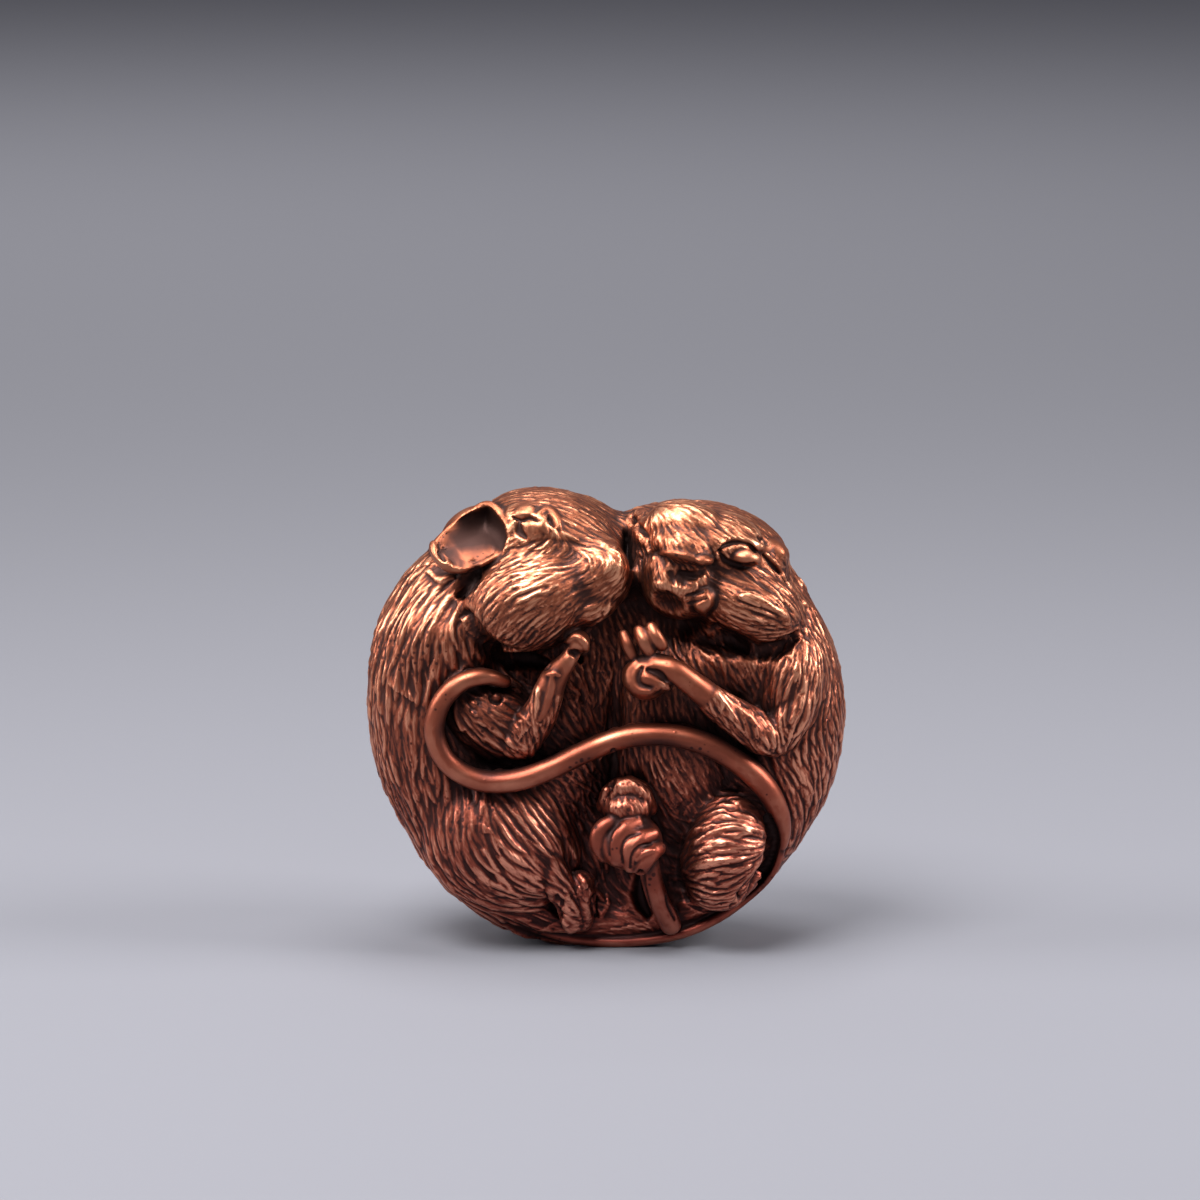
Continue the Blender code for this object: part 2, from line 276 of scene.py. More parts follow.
def limb(stations, closed=False, backed=0.0):
    """A bar and, where it is backed, a second one that many radii behind it."""
    path = [point * UNIT for point in smooth_path(stations, closed)]
    made = [tube(path, closed)]
    if backed:
        behind = [Vector((x, y + backed * radius, z, BEHIND_RADIUS * radius)) for x, y, z, radius in path]
        made.append(tube(behind, closed))
    return made


def back_roll():
    path = []
    for step in range(ROLL_STEPS):
        angle = math.radians(360 / ROLL_STEPS * step)
        radius = ROLL_RADIUS * round_the_rim(ROLL_FULLNESS, angle)
        reach = outline_radius(angle) * UNIT - radius
        path.append((math.sin(angle) * reach, ROLL_PLANE, math.cos(angle) * reach + CENTRE_Z * UNIT, radius))
    return tube(path, closed=True)


roll = back_roll()
print("roll of the backs, mm:", size_mm(roll))

# %% [markdown]
# ## The big masses
#
# Shoulders, bellies, haunches and heads are egg shapes, each written as a
# centre, three half sizes and a turn. A sculptor presses such lumps onto the
# body and rubs the seams away. Here a voxel remesh makes one skin of them all,
# and a smoothing modifier rubs the seams. Hollows are then pressed into the
# front: between the heads, between the bodies and under each jaw. At the back a
# shallow furrow runs down between the two bodies and fades out towards the foot.

# %% Shoulders, bellies, haunches and heads
MASSES = {
    "left_shoulder": ((-23.0, -5.5, 46.0), (8.8, 8.6, 10.0), 8),
    "left_belly": ((-6.4, -3.8, 33.0), (8.0, 8.4, 17.0), 0),
    "left_haunch": ((-15.4, -6.0, 17.4), (12.8, 9.6, 11.4), 30),
    "right_belly": ((9.8, -3.6, 32.0), (11.2, 9.0, 18.0), 0),
    "right_chest": ((18.6, -6.0, 43.4), (12.5, 7.2, 8.0), -14),
    "right_upper_arm": ((26.6, -7.6, 40.8), (5.4, 8.2, 8.8), 8),
    "left_skull": ((-8.4, -6.0, 60.4), (11.2, 10.4, 8.2), 14),
    "left_brow": ((-9.8, -9.6, 64.2), (6.2, 6.2, 3.4), 12),
    "left_cheek": ((-10.8, -11.0, 53.6), (10.6, 9.6, 7.8), -18),
    "left_muzzle": ((-1.6, -12.4, 57.2), (5.4, 5.8, 5.8), 0),
    "right_skull": ((14.2, -5.6, 58.4), (12.4, 10.4, 8.2), 8),
    "right_muzzle": ((10.6, -11.4, 56.6), (6.0, 7.0, 6.2), 0),
    "right_cheek": ((19.8, -9.8, 53.0), (9.2, 8.2, 5.6), 27),
    "right_haunch": ((17.3, -10.0, 15.8), (6.1, 6.8, 9.0), 16),
    "left_elbow": ((-16.8, -9.6, 36.0), (8.2, 6.0, 5.8), 36),
}
BODY_HOLLOWS = {
    "between_heads": ((2.9, -14.0, 61.2), (1.0, 8.0, 5.0), 0),
    "between_bodies": ((0.8, -11.6, 34.0), (1.6, 3.4, 13.0), 3),
    "under_left_jaw": ((-12.6, -13.0, 43.4), (6.4, 4.6, 3.0), -14),
    "under_right_jaw": ((15.0, -14.0, 47.0), (6.0, 4.0, 1.8), 12),
    "between_feet": ((1.0, -10.4, 9.4), (4.6, 4.6, 6.0), 0),
}


def ellipsoid(centre, half, turn):
    bpy.ops.mesh.primitive_ico_sphere_add(
        subdivisions=4,
        radius=1,
        location=Vector(centre) * UNIT,
        rotation=(0, math.radians(turn), 0),
        scale=Vector(half) * UNIT,
    )
    bpy.ops.object.transform_apply()
    return bpy.context.object


def fuse(name, parts, grain, softening):
    """Makes one skin of the parts and softens the seams."""
    whole = join(name, parts)
    apply_modifier(whole, "REMESH", mode="VOXEL", voxel_size=grain)
    apply_modifier(whole, "SMOOTH", factor=0.5, iterations=softening)
    return whole


def share_across(points, centre, half, turn):
    """How far each point is from the middle of an ellipsoid's front view: 0 in the middle, 1 at its edge."""
    middle = np.array(centre) * UNIT
    cos, sin = math.cos(math.radians(turn)), math.sin(math.radians(turn))
    right, up = points[:, 0] - middle[0], points[:, 2] - middle[2]
    return np.hypot((right * cos - up * sin) / (half[0] * UNIT), (right * sin + up * cos) / (half[2] * UNIT))


def press_hollows(obj, hollows):
    """Pushes the front skin back to the far side of each hollow's ellipsoid."""
    points = points_of(obj)
    for centre, half, turn in hollows:
        inside = 1 - share_across(points, centre, half, turn) ** 2
        floor = (centre[1] + half[1] * np.sqrt(np.maximum(inside, 0))) * UNIT
        pressed = (inside > 0) & (points[:, 1] < floor)
        points[pressed, 1] = floor[pressed]
    set_points(obj, points)


FURROW_X = 2 * MM
FURROW_WIDE = 3 * MM
FURROW_STARTS_BEHIND = 6 * MM
FURROW_FULL_HEIGHT = 20 * MM
FURROW_AT_THE_FOOT = 0.3


def press_furrow(obj):
    """Sinks a soft line down the middle of the back."""
    points = points_of(obj)
    x, y, z = points.T
    sunk = np.exp(-((x - FURROW_X) / FURROW_WIDE) ** 2) * np.clip(y / FURROW_STARTS_BEHIND, 0, 1)
    points[:, 1] -= BACK_FURROW * sunk * np.clip(z / FURROW_FULL_HEIGHT, FURROW_AT_THE_FOOT, 1)
    set_points(obj, points)


masses = [ellipsoid(*mass) for mass in MASSES.values()]
body = fuse("body", [core, roll, *masses], BODY_GRAIN, BODY_SOFTENING)
press_hollows(body, BODY_HOLLOWS.values())
press_furrow(body)
print("body:", len(body.data.vertices), "points")

# %% [markdown]
# ## Limbs, tails, ears and faces
#
# These are smaller and keep a crisper edge, so they go on after the masses were
# softened. Fingers and toes are thin bars. The open ear of the left mouse is a
# closed loop for its rim, round a bowl that is pressed in afterwards. The rim is
# thick where it folds over at the lower left, and thin at the upper left.

# %% Limbs: points along each one as x, y, z and radius, and how far behind it a second bar runs
LIMBS = {
    "right_forearm": (
        ((7.4, -17.2, 44.6, 1.5), (9.6, -17.8, 44.0, 1.7), (13.4, -17.2, 41.0, 1.9), (18.0, -15.8, 37.2, 2.4),
         (22.4, -14.4, 34.0, 2.9)), 0.9,
    ),
    "right_tuft": (
        ((24.0, -13.2, 33.4, 2.7), (26.4, -13.4, 36.4, 2.8), (27.6, -12.6, 40.0, 2.7),
         (28.2, -11.4, 43.6, 2.2)), 0.0,
    ),
    "left_forearm": (
        ((-4.4, -17.0, 47.6, 1.2), (-5.6, -17.2, 45.6, 1.35), (-7.8, -16.4, 42.4, 2.0),
         (-9.4, -15.2, 37.8, 2.4), (-12.4, -13.0, 33.2, 3.0)), 0.9,
    ),
    "finger_a": (((2.3, -15.8, 48.9, 0.8), (2.9, -16.5, 47.5, 0.95), (3.6, -16.3, 46.0, 0.85)), 0.9),
    "finger_b": (((4.5, -16.2, 49.5, 0.9), (5.2, -17.0, 48.2, 1.05), (6.0, -16.8, 46.8, 1.0)), 0.9),
    "finger_c": (((6.3, -16.6, 50.1, 0.9), (7.0, -17.3, 48.9, 1.0), (7.8, -17.0, 47.6, 0.95)), 0.9),
    "left_tail": (
        ((5.8, -15.4, 16.6, 1.5), (6.4, -14.0, 12.6, 1.6), (7.6, -11.6, 8.4, 1.6),
         (9.3, -8.8, 4.4, 1.6)), 0.9,
    ),
    "left_hind_foot": (((-8.6, -11.4, 15.0, 2.4), (-6.6, -11.4, 10.0, 2.0), (-5.0, -9.8, 5.0, 1.4)), 0.9),
    "left_hind_toe": (((-4.0, -10.8, 11.0, 1.8), (-3.2, -10.2, 7.6, 1.4), (-3.4, -9.2, 4.8, 1.1)), 0.9),
    "toe_a": (
        ((1.6, -14.6, 21.4, 1.0), (-0.7, -15.2, 20.4, 1.25),
         (-1.4, -15.2, 18.2, 1.25), (-0.5, -14.4, 16.0, 1.0)), 0.0,
    ),
    "toe_b": (
        ((4.2, -15.6, 21.2, 1.0), (2.2, -16.6, 20.2, 1.25),
         (1.2, -16.7, 18.0, 1.25), (1.3, -16.0, 15.8, 1.0)), 0.0,
    ),
    "toe_c": (
        ((6.6, -16.0, 19.6, 1.0), (4.7, -17.2, 19.0, 1.25),
         (3.5, -17.5, 17.0, 1.25), (3.3, -16.4, 14.9, 1.0)), 0.0,
    ),
    "toe_d": (
        ((7.4, -15.8, 17.4, 1.1), (6.3, -17.2, 17.1, 1.4),
         (5.3, -17.4, 15.9, 1.4), (4.8, -16.4, 14.6, 1.1)), 0.0,
    ),
    "upper_toe": (
        ((-0.2, -12.2, 23.0, 1.2), (0.8, -13.2, 25.2, 1.4), (3.0, -13.7, 26.0, 1.4), (5.1, -13.3, 24.8, 1.4),
         (5.9, -12.2, 22.6, 1.2)), 0.9,
    ),
}
TAIL = (
    (-14.8, -13.6, 41.6, 0.60), (-17.8, -15.0, 42.6, 0.76), (-21.2, -15.4, 41.7, 0.84),
    (-24.0, -15.2, 38.7, 0.90), (-25.0, -14.8, 34.4, 0.92), (-23.2, -14.6, 30.0, 0.94),
    (-19.0, -14.8, 27.4, 0.97), (-14.0, -15.0, 27.2, 1.00), (-8.8, -15.0, 28.8, 1.00),
    (-3.4, -14.8, 31.4, 1.00), (2.5, -14.8, 33.6, 1.00), (8.6, -14.8, 34.0, 1.02),
    (14.5, -14.8, 32.5, 1.05), (19.4, -14.4, 29.6, 1.08), (22.9, -13.6, 26.0, 1.05),
    (24.9, -12.2, 22.2, 0.92), (25.7, -10.8, 19.2, 0.70), (25.6, -9.6, 16.6, 0.50),
)
RIM_LIP = (
    (25.4, -9.6, 18.0, 0.9), (25.0, -8.6, 14.6, 0.85), (23.6, -7.8, 11.4, 0.8),
    (20.6, -7.4, 8.2, 0.75), (16.2, -7.2, 4.9, 0.75), (10.6, -7.0, 2.4, 0.75),
    (3.5, -7.0, 1.3, 0.75), (-3.8, -7.0, 1.5, 0.7), (-10.0, -6.6, 2.9, 0.55),
    (-15.0, -6.0, 4.9, 0.35),
)
EAR_LOOP = (
    (-17.5, -9.6, 66.9, 0.55), (-15.6, -11.2, 65.6, 0.95), (-14.5, -12.6, 63.2, 0.85),
    (-15.2, -13.4, 60.8, 0.50), (-17.8, -14.4, 59.2, 0.60), (-20.6, -15.0, 58.6, 0.90),
    (-23.0, -14.8, 59.2, 1.20), (-24.6, -13.4, 61.0, 0.90), (-23.4, -11.2, 63.2, 0.32),
    (-20.6, -9.4, 65.4, 0.28),
)

# %% Faces, paws and feet
# Features are fused and softened first. Then two hollows are pressed round the right
# mouse's muzzle, and the crisp details go on last with the limbs.
FEATURES = {
    "right_brow_plane": ((11.0, -11.0, 62.4), (6.4, 5.2, 4.6), 6),
    "right_temple": ((16.2, -10.8, 61.4), (6.4, 6.0, 4.6), 8),
    "right_forehead": ((11.4, -12.2, 64.4), (5.6, 4.8, 3.4), 10),
    "right_bridge": ((11.4, -14.0, 62.0), (4.8, 5.4, 2.8), 10),
    "right_bridge_side": ((15.0, -12.6, 62.0), (4.0, 5.2, 3.0), 24),
    "right_snout": ((11.4, -15.4, 60.9), (4.2, 4.6, 1.6), 12),
    "right_brow": ((19.0, -13.6, 62.3), (3.8, 2.6, 1.2), 14),
    "right_ear": ((24.2, -8.8, 59.4), (2.0, 2.4, 1.9), 30),
    "right_far_ear": ((5.4, -9.6, 62.0), (1.6, 3.0, 2.6), -14),
    "left_eye_mound": ((-9.4, -13.2, 64.4), (3.6, 2.6, 2.0), 16),
    "left_nose": ((0.4, -14.6, 58.2), (2.8, 3.4, 3.4), 0),
    "left_chin": ((-2.6, -14.6, 52.6), (4.2, 3.4, 2.2), -14),
    "left_ear_back": ((-19.4, -8.6, 62.0), (5.4, 3.6, 4.2), -38),
    "left_ear_lobe": ((-20.8, -11.6, 60.6), (4.2, 3.2, 2.2), -30),
    "left_paw": ((-4.2, -16.4, 48.0), (1.8, 2.4, 1.7), 0),
    "right_fist": ((5.6, -15.4, 42.6), (3.4, 3.6, 3.4), 0),
    "right_thumb": ((7.6, -17.4, 42.4), (1.8, 1.8, 1.4), 30),
    "right_wrist": ((8.0, -16.4, 44.4), (2.8, 2.6, 1.8), 20),
    "upper_foot": ((2.9, -12.2, 23.0), (3.7, 4.2, 2.6), 0),
    "lower_foot": ((3.2, -13.0, 17.8), (4.9, 5.5, 4.1), 0),
}
DETAILS = {
    "right_nose_tip": ((13.6, -18.0, 60.4), (1.7, 2.2, 0.8), 16),
    "right_pad_a": ((8.2, -14.8, 56.4), (2.1, 3.0, 1.4), 0),
    "right_pad_b": ((12.3, -14.8, 56.8), (1.9, 3.0, 1.1), 0),
    "right_chin": ((13.8, -15.9, 54.2), (2.0, 2.5, 2.0), 0),
    "right_eye": ((19.8, -15.4, 60.1), (2.3, 1.9, 1.3), 8),
    "tail_ball": ((-16.2, -13.2, 39.4), (0.8, 1.0, 0.8), 0),
}
FACE_HOLLOWS = {
    "under_right_nose": ((10.8, -21.2, 57.8), (5.2, 4.2, 2.5), 10),
    "beside_right_chin": ((7.2, -18.8, 52.0), (4.9, 4.2, 4.1), 16),
}

features = [ellipsoid(*feature) for feature in FEATURES.values()]
body = fuse("body", [body, *features], FEATURE_GRAIN, FEATURE_SOFTENING)
press_hollows(body, FACE_HOLLOWS.values())
parts = [body, *[ellipsoid(*detail) for detail in DETAILS.values()]]
for stations, backed in LIMBS.values():
    parts += limb(stations, backed=backed)
half_tail = TAIL_THICKNESS / 2 / UNIT
parts += limb([(x, y, z, share * half_tail) for x, y, z, share in TAIL], backed=0.9)
parts += limb(RIM_LIP, backed=0.9)
parts += limb(EAR_LOOP, closed=True, backed=0.9)
mice = fuse("mice", parts, GRAIN, SOFTENING)
print("mice before the hollows:", len(mice.data.vertices), "points")

# %% Keep the outer skin, press the hollows and set the form on its foot


def keep_outer_skin(obj):
    """A remesh can leave sealed bubbles inside; only the largest linked piece stays."""
    count = len(obj.data.vertices)
    edges = np.empty(len(obj.data.edges) * 2, dtype=int)
    obj.data.edges.foreach_get("vertices", edges)
    a, b = edges.reshape(-1, 2).T
    label = np.arange(count)
    while True:
        low = np.minimum(label[a], label[b])
        before = label.copy()
        np.minimum.at(label, a, low)
        np.minimum.at(label, b, low)
        label = label[label]
        if (label == before).all():
            break
    kept = np.bincount(label).argmax()
    select_only(obj)
    bpy.ops.object.mode_set(mode="EDIT")
    bpy.ops.mesh.select_all(action="DESELECT")
    bpy.ops.object.mode_set(mode="OBJECT")
    obj.data.vertices.foreach_set("select", label != kept)
    bpy.ops.object.mode_set(mode="EDIT")
    bpy.ops.mesh.delete(type="VERT")
    bpy.ops.object.mode_set(mode="OBJECT")


EAR_EDGE = 0.10 * MM
EAR_REACH = 8 * MM
EAR_WALL = 3.6 * MM
EAR_BLEND = 0.3 * MM
EAR_TILT_LENGTH = 7 * MM
EAR_MIDDLE_SHARE = 0.75
EAR_TILT = 0.9
EAR_SHARES = (0.2, 1.5)


def press_ear(obj):
    """Gives the skin inside the ear's rim one rounded floor, deepest towards the head; returns its points."""
    points = points_of(obj)
    facing = normals_of(obj)[:, 1] < 0.1
    loop = np.array([tuple(point * UNIT) for point in smooth_path(EAR_LOOP, closed=True)])
    near = np.flatnonzero((np.abs(points - loop[:, :3].mean(0)) < EAR_REACH).all(1) & facing)
    x, y, z = points[near].T
    inside = np.zeros(len(near), dtype=bool)
    for (xa, _, za, _), (xb, _, zb, _) in zip(loop, np.roll(loop, -1, axis=0)):
        inside ^= ((za > z) != (zb > z)) & (x < xa + (z - za) / ((zb - za) or 1) * (xb - xa))
    away = np.sqrt(((points[near][:, None, (0, 2)] - loop[None, :, (0, 2)]) ** 2).sum(2))
    pull = 1 / (away + EAR_BLEND) ** 2
    rim = (pull @ (loop[:, 1] - loop[:, 3])) / pull.sum(1)
    scoop = np.clip((away.min(1) - EAR_EDGE) / EAR_WALL, 0, 1)
    toward_head = (x - loop[:, 0].mean() + z - loop[:, 2].mean()) / EAR_TILT_LENGTH
    depth = EAR_DEPTH * np.clip(EAR_MIDDLE_SHARE + EAR_TILT * toward_head, *EAR_SHARES)
    pressed = inside & (away.min(1) > EAR_EDGE)
    points[near[pressed], 1] = (rim + depth * np.sin(scoop * math.pi / 2))[pressed]
    set_points(obj, points)
    return near[inside]


keep_outer_skin(mice)
ear_skin = press_ear(mice)
apply_modifier(mice, "SMOOTH", factor=0.5, iterations=2)
form = points_of(mice)
low, high = form.min(0), form.max(0)
middle = [(a + b) / 2 for a, b in zip(solid_low, solid_high)]
shift = np.array([
    middle[0] - (low[0] + high[0]) / 2,
    middle[1] - (low[1] + high[1]) / 2,
    solid_low[2] - low[2] - FOOT_CUT,
])
print("mice:", len(form), "points, shift, mm:", (shift / MM).round(2), "box, mm:", size_mm(mice))

# %% [markdown]
# ## The eye that looks at it
#
# The camera is set up early, because the sculptor also works from the front: a
# fold of an eyelid or a nostril is easiest to place as it is seen. It looks from
# straight ahead and ten degrees above, with a long lens that flattens the form.

# %% Camera
ELEVATION = math.radians(10)
DISTANCE = 0.700
AIM = Vector((-0.0009, 0.0, 0.0510))
LENS = 143.4
camera = bpy.data.objects.new("camera", bpy.data.cameras.new("camera"))
bpy.context.scene.collection.objects.link(camera)
camera.location = AIM + Vector((0, -math.cos(ELEVATION), math.sin(ELEVATION))) * DISTANCE
camera.rotation_euler = (math.radians(90) - ELEVATION, 0, 0)
camera.data.sensor_width = 36
camera.data.lens = LENS
camera.data.clip_start = 0.01
bpy.context.scene.camera = camera


def seen(points):
    """Right and up of each point as the camera sees it, in millimetres at the distance of its aim."""
    offset = points - np.array(camera.location)
    up = np.array((0, math.sin(ELEVATION), math.cos(ELEVATION)))
    ahead = np.array((0, math.cos(ELEVATION), -math.sin(ELEVATION)))
    return np.stack([offset[:, 0], offset @ up], axis=1) / (offset @ ahead)[:, None] * DISTANCE / MM


print("camera stands", DISTANCE, "m away")

# %% [markdown]
# ## Marks drawn from the front
#
# Folds of an eye, a nostril, lines on a chin and the gaps between toes are single
# lines of the tool. Each mark has a radius and a height in millimetres (below zero is a
# groove), tells whether the skin round it stays bare, and runs through a few
# places given as the camera sees them, right and up from the middle of the view.

# %% The marks
MARKS = {
    "right_nose_edge": (0.4, 0.3, True, ((7.9, 6.8), (9.9, 6.9), (11.7, 6.6), (13.6, 6.1), (15.0, 5.4))),
    "right_nostril_b": (0.65, -0.3, True, ((11.9, 3.9), (13.4, 3.5), (14.8, 3.9))),
    "right_chin_side": (0.4, -0.15, True, ((16.1, 1.3), (16.8, -0.4), (15.8, -2.2))),
    "right_chin_line_a": (0.25, -0.25, True, ((12.6, 0.6), (13.8, 0.9), (15.2, 1.3))),
    "right_chin_line_b": (0.25, -0.25, True, ((12.9, -0.5), (14.2, -0.2), (15.6, 0.2))),
    "right_chin_point": (0.55, 0.25, True, ((14.3, -0.9), (15.3, -1.9))),
    "right_eye_below": (0.42, -0.45, True, ((17.6, 7.0), (18.2, 5.9), (19.4, 5.2), (21.0, 4.9), (22.6, 5.3))),
    "right_eye_above": (0.4, -0.6, True, ((17.4, 7.1), (18.5, 8.0), (20.1, 8.5), (21.7, 8.2), (22.8, 7.2))),
    "right_ear_fold": (0.8, 0.25, True, ((23.9, 7.4), (25.4, 8.2), (26.7, 6.9))),
    "right_ear_slit": (0.35, -0.55, True, ((23.9, 6.6), (25.1, 5.3), (26.3, 3.9))),
    "right_ear_notch": (0.35, -0.45, True, ((23.2, 9.2), (24.3, 8.2))),
    "right_far_ear_gap": (0.5, -1.0, False, ((4.9, 12.1), (5.7, 10.6), (6.7, 9.2), (7.3, 7.9))),
    "right_far_ear_flap": (0.9, 0.12, False, ((5.5, 13.2), (7.0, 12.1), (7.9, 10.0), (7.8, 7.4))),
    "right_cheek_undercut": (1.2, -1.1, False,
        ((16.8, -4.0), (19.4, -5.7), (22.6, -7.6), (25.7, -7.2), (28.2, -5.5))),
    "right_cheek_edge": (0.9, 0.5, False, ((20.9, 0.6), (23.3, 0.1), (25.7, -0.9), (27.4, -3.1))),
    "right_temple_a": (0.28, -0.3, False, ((26.6, 3.2), (27.9, 1.5), (29.5, -0.4))),
    "right_temple_b": (0.28, 0.25, False, ((27.4, 2.5), (28.9, 0.6), (30.2, -0.9))),
    "left_eye_slit": (0.36, -0.6, True, ((-12.7, 12.1), (-11.6, 11.7), (-10.4, 12.1), (-9.2, 11.7))),
    "left_eye_hollow": (0.5, -0.5, True, ((-12.0, 11.2), (-11.8, 10.0), (-11.0, 9.2))),
    "left_eye_loop": (0.45, 0.34, True,
        ((-8.9, 12.7), (-7.7, 13.3), (-6.4, 12.2), (-5.9, 10.6))),
    "left_eye_loop_hole": (0.36, -0.75, True, ((-7.5, 12.2), (-6.8, 10.9))),
    "left_eye_lump_a": (1.1, 0.4, True, ((-10.0, 10.6), (-9.3, 9.8))),
    "left_eye_lump_b": (0.8, 0.35, True, ((-11.8, 12.9), (-10.2, 13.3))),
    "left_eye_lump_c": (0.6, 0.35, True, ((-8.4, 11.2), (-8.0, 10.2))),
    "left_brow_ridge": (0.6, 0.15, False,
        ((-9.9, 9.0), (-7.7, 9.6), (-5.3, 9.4), (-2.6, 9.1), (0.1, 8.5), (2.1, 7.5))),
    "left_nose_leather": (0.5, 0.15, False, ((0.3, 7.9), (2.1, 7.1), (3.0, 5.9), (2.6, 4.5))),
    "left_jaw_undercut": (1.3, -1.3, False,
        ((-19.6, -2.1), (-17.7, -5.4), (-15.5, -7.6), (-13.0, -8.5), (-10.6, -8.8), (-8.2, -9.3))),
    "left_neck_crease": (1.0, -1.3, False, ((-18.0, 4.1), (-19.0, 2.6), (-20.4, 0.8))),
    "left_ear_rim_fold": (0.6, 0.35, True, ((-24.7, 8.5), (-24.2, 7.1), (-23.1, 5.9), (-22.0, 5.1))),
    "left_ear_notch": (0.35, -0.5, True, ((-23.7, 6.9), (-22.8, 5.7))),
    "left_neck_fold": (0.5, 0.4, False, ((-24.9, 4.0), (-23.5, 3.0), (-21.5, 3.2))),
    "left_paw_knuckle": (0.45, 0.45, True, ((-4.7, -6.1), (-3.5, -5.3), (-2.2, -6.3), (-2.0, -7.4))),
    "left_paw_hollow": (0.5, -0.9, True, ((-4.4, -7.6), (-3.3, -8.0), (-2.8, -8.9))),
    "left_sleeve_edge": (0.3, 0.3, True, ((-7.8, -11.0), (-6.9, -10.7), (-6.0, -11.1))),
    "left_forearm_facet": (0.55, 0.3, True, ((-7.0, -11.2), (-7.2, -13.3), (-7.9, -15.5), (-8.9, -17.5))),
    "right_fist_ring": (0.55, 0.3, True,
        ((5.2, -9.0), (4.0, -10.2), (3.9, -11.8), (5.0, -13.1), (6.9, -13.5), (8.4, -12.9))),
    "right_fist_gap": (0.45, -0.5, True, ((6.1, -9.9), (5.5, -11.1), (5.9, -12.4), (7.3, -12.9))),
    "right_fist_thumb": (0.5, 0.2, True, ((6.7, -11.3), (7.8, -11.9), (8.5, -12.8))),
    "right_wrist_dark": (0.5, -0.5, True, ((7.0, -10.2), (8.5, -10.8), (9.7, -11.9))),
    "lower_foot_gap_a": (0.32, -0.3, True, ((2.8, -32.8), (1.6, -33.9), (1.1, -35.6), (1.3, -37.4))),
    "lower_foot_gap_b": (0.3, -0.35, True, ((5.8, -34.1), (4.0, -34.8), (3.1, -36.5), (3.3, -38.5))),
    "lower_foot_gap_c": (0.3, -0.35, True, ((7.5, -35.7), (5.6, -36.2), (4.6, -37.5), (4.4, -39.2))),
    "lower_foot_knuckle": (0.5, 0.35, True, ((7.8, -36.7), (6.4, -37.0), (5.4, -38.0))),
    "stub_gap": (0.9, -1.2, True, ((5.9, -40.2), (5.6, -42.1), (6.1, -44.3), (7.0, -46.0))),
    "stub_side": (0.3, -0.5, True, ((9.8, -43.3), (10.2, -44.8), (11.0, -46.7))),
    "wedge_hollow": (1.0, -0.8, False, ((-6.4, -43.6), (-6.2, -45.0), (-5.7, -45.8))),
    "wedge_split": (0.7, -0.5, False, ((-0.8, -43.2), (-0.8, -44.7), (-0.5, -46.1))),
    "wedge_edge_a": (0.35, 0.2, False, ((-5.2, -42.5), (-3.9, -44.7), (-2.8, -47.0))),
    "wedge_edge_b": (0.35, 0.2, False, ((1.0, -43.2), (1.0, -44.7), (0.3, -46.3))),
    "right_haunch_gap": (0.9, -1.2, False,
        ((24.5, -31.9), (25.2, -34.8), (24.5, -38.0), (22.8, -40.9), (20.4, -43.3))),
    "tail_ball": (0.55, 0.55, True, ((-15.3, -14.2), (-15.1, -14.3))),
    "tail_ball_ring": (0.28, -0.4, True, ((-16.2, -14.0), (-15.9, -14.8), (-15.0, -15.1), (-14.3, -14.6))),
    "belly_split_low": (0.6, -0.8, False, ((2.0, -22.2), (1.8, -26.1), (1.0, -28.8))),
}


MARK_SPREAD = 1.6
MARK_END = 0.55
MARK_SWELL = 0.45
MARK_FLAT_TOP = 1.25
FACES_CAMERA = 0.05


def draw_marks(obj, marks):
    """Raises ridges and presses grooves along the marks; gives back how bare each point becomes."""
    points = points_of(obj)
    normals = normals_of(obj)
    spots = seen(points + shift)
    toward_camera = (0, -math.cos(ELEVATION), math.sin(ELEVATION))
    facing = np.flatnonzero(normals @ toward_camera > FACES_CAMERA)
    flat_tree = kdtree.KDTree(len(facing))
    for number in facing.tolist():
        flat_tree.insert((*spots[number], 0), number)
    flat_tree.balance()
    lift = np.zeros(len(points))
    smooth = np.zeros(len(points))
    for radius, height, stays_bare, places in marks.values():
        path = smooth_path([(*place, 0, radius) for place in places]) if len(places) > 1 else []
        strength = {}
        for step, (u, v, _, _) in enumerate(path):
            share = (step + 0.5) / len(path)
            wide = radius * (MARK_END + MARK_SWELL * math.sin(math.pi * share))
            for _, number, away in flat_tree.find_range((u, v, 0), MARK_SPREAD * wide):
                strength[number] = max(strength.get(number, 0), 1 - away / (MARK_SPREAD * wide))
        numbers = np.array(list(strength), dtype=int)
        amount = np.array(list(strength.values()))
        lift[numbers] += height * MM * np.sin(np.minimum(1, amount * MARK_FLAT_TOP) * math.pi / 2) ** 2
        if stays_bare:
            smooth[numbers] = np.maximum(smooth[numbers], np.minimum(1, amount * 2))
    set_points(obj, points + normals * lift[:, None])
    return smooth


marked_bare = draw_marks(mice, MARKS)
marked_bare[ear_skin] = 1
apply_modifier(mice, "SMOOTH", factor=0.4, iterations=1)
print("marks:", len(MARKS), "points they keep bare:", int((marked_bare > 0.5).sum()))

# %% [markdown]
# ## Which way the fur lies
#
# The sculptor drew the coat with short strokes of a tool, and their direction
# changes at each crease: down the backs, round the haunches, along the cheeks.
# It could be painted by hand as a texture, but then it would be flat. Here each
# region gets a few guide marks read from the front. A guide holds a place (x, z),
# an angle (0 right, 90 up, from root to tip), a stroke width in millimetres and
# a depth. Between guides the values blend, and at a crease they change at once.

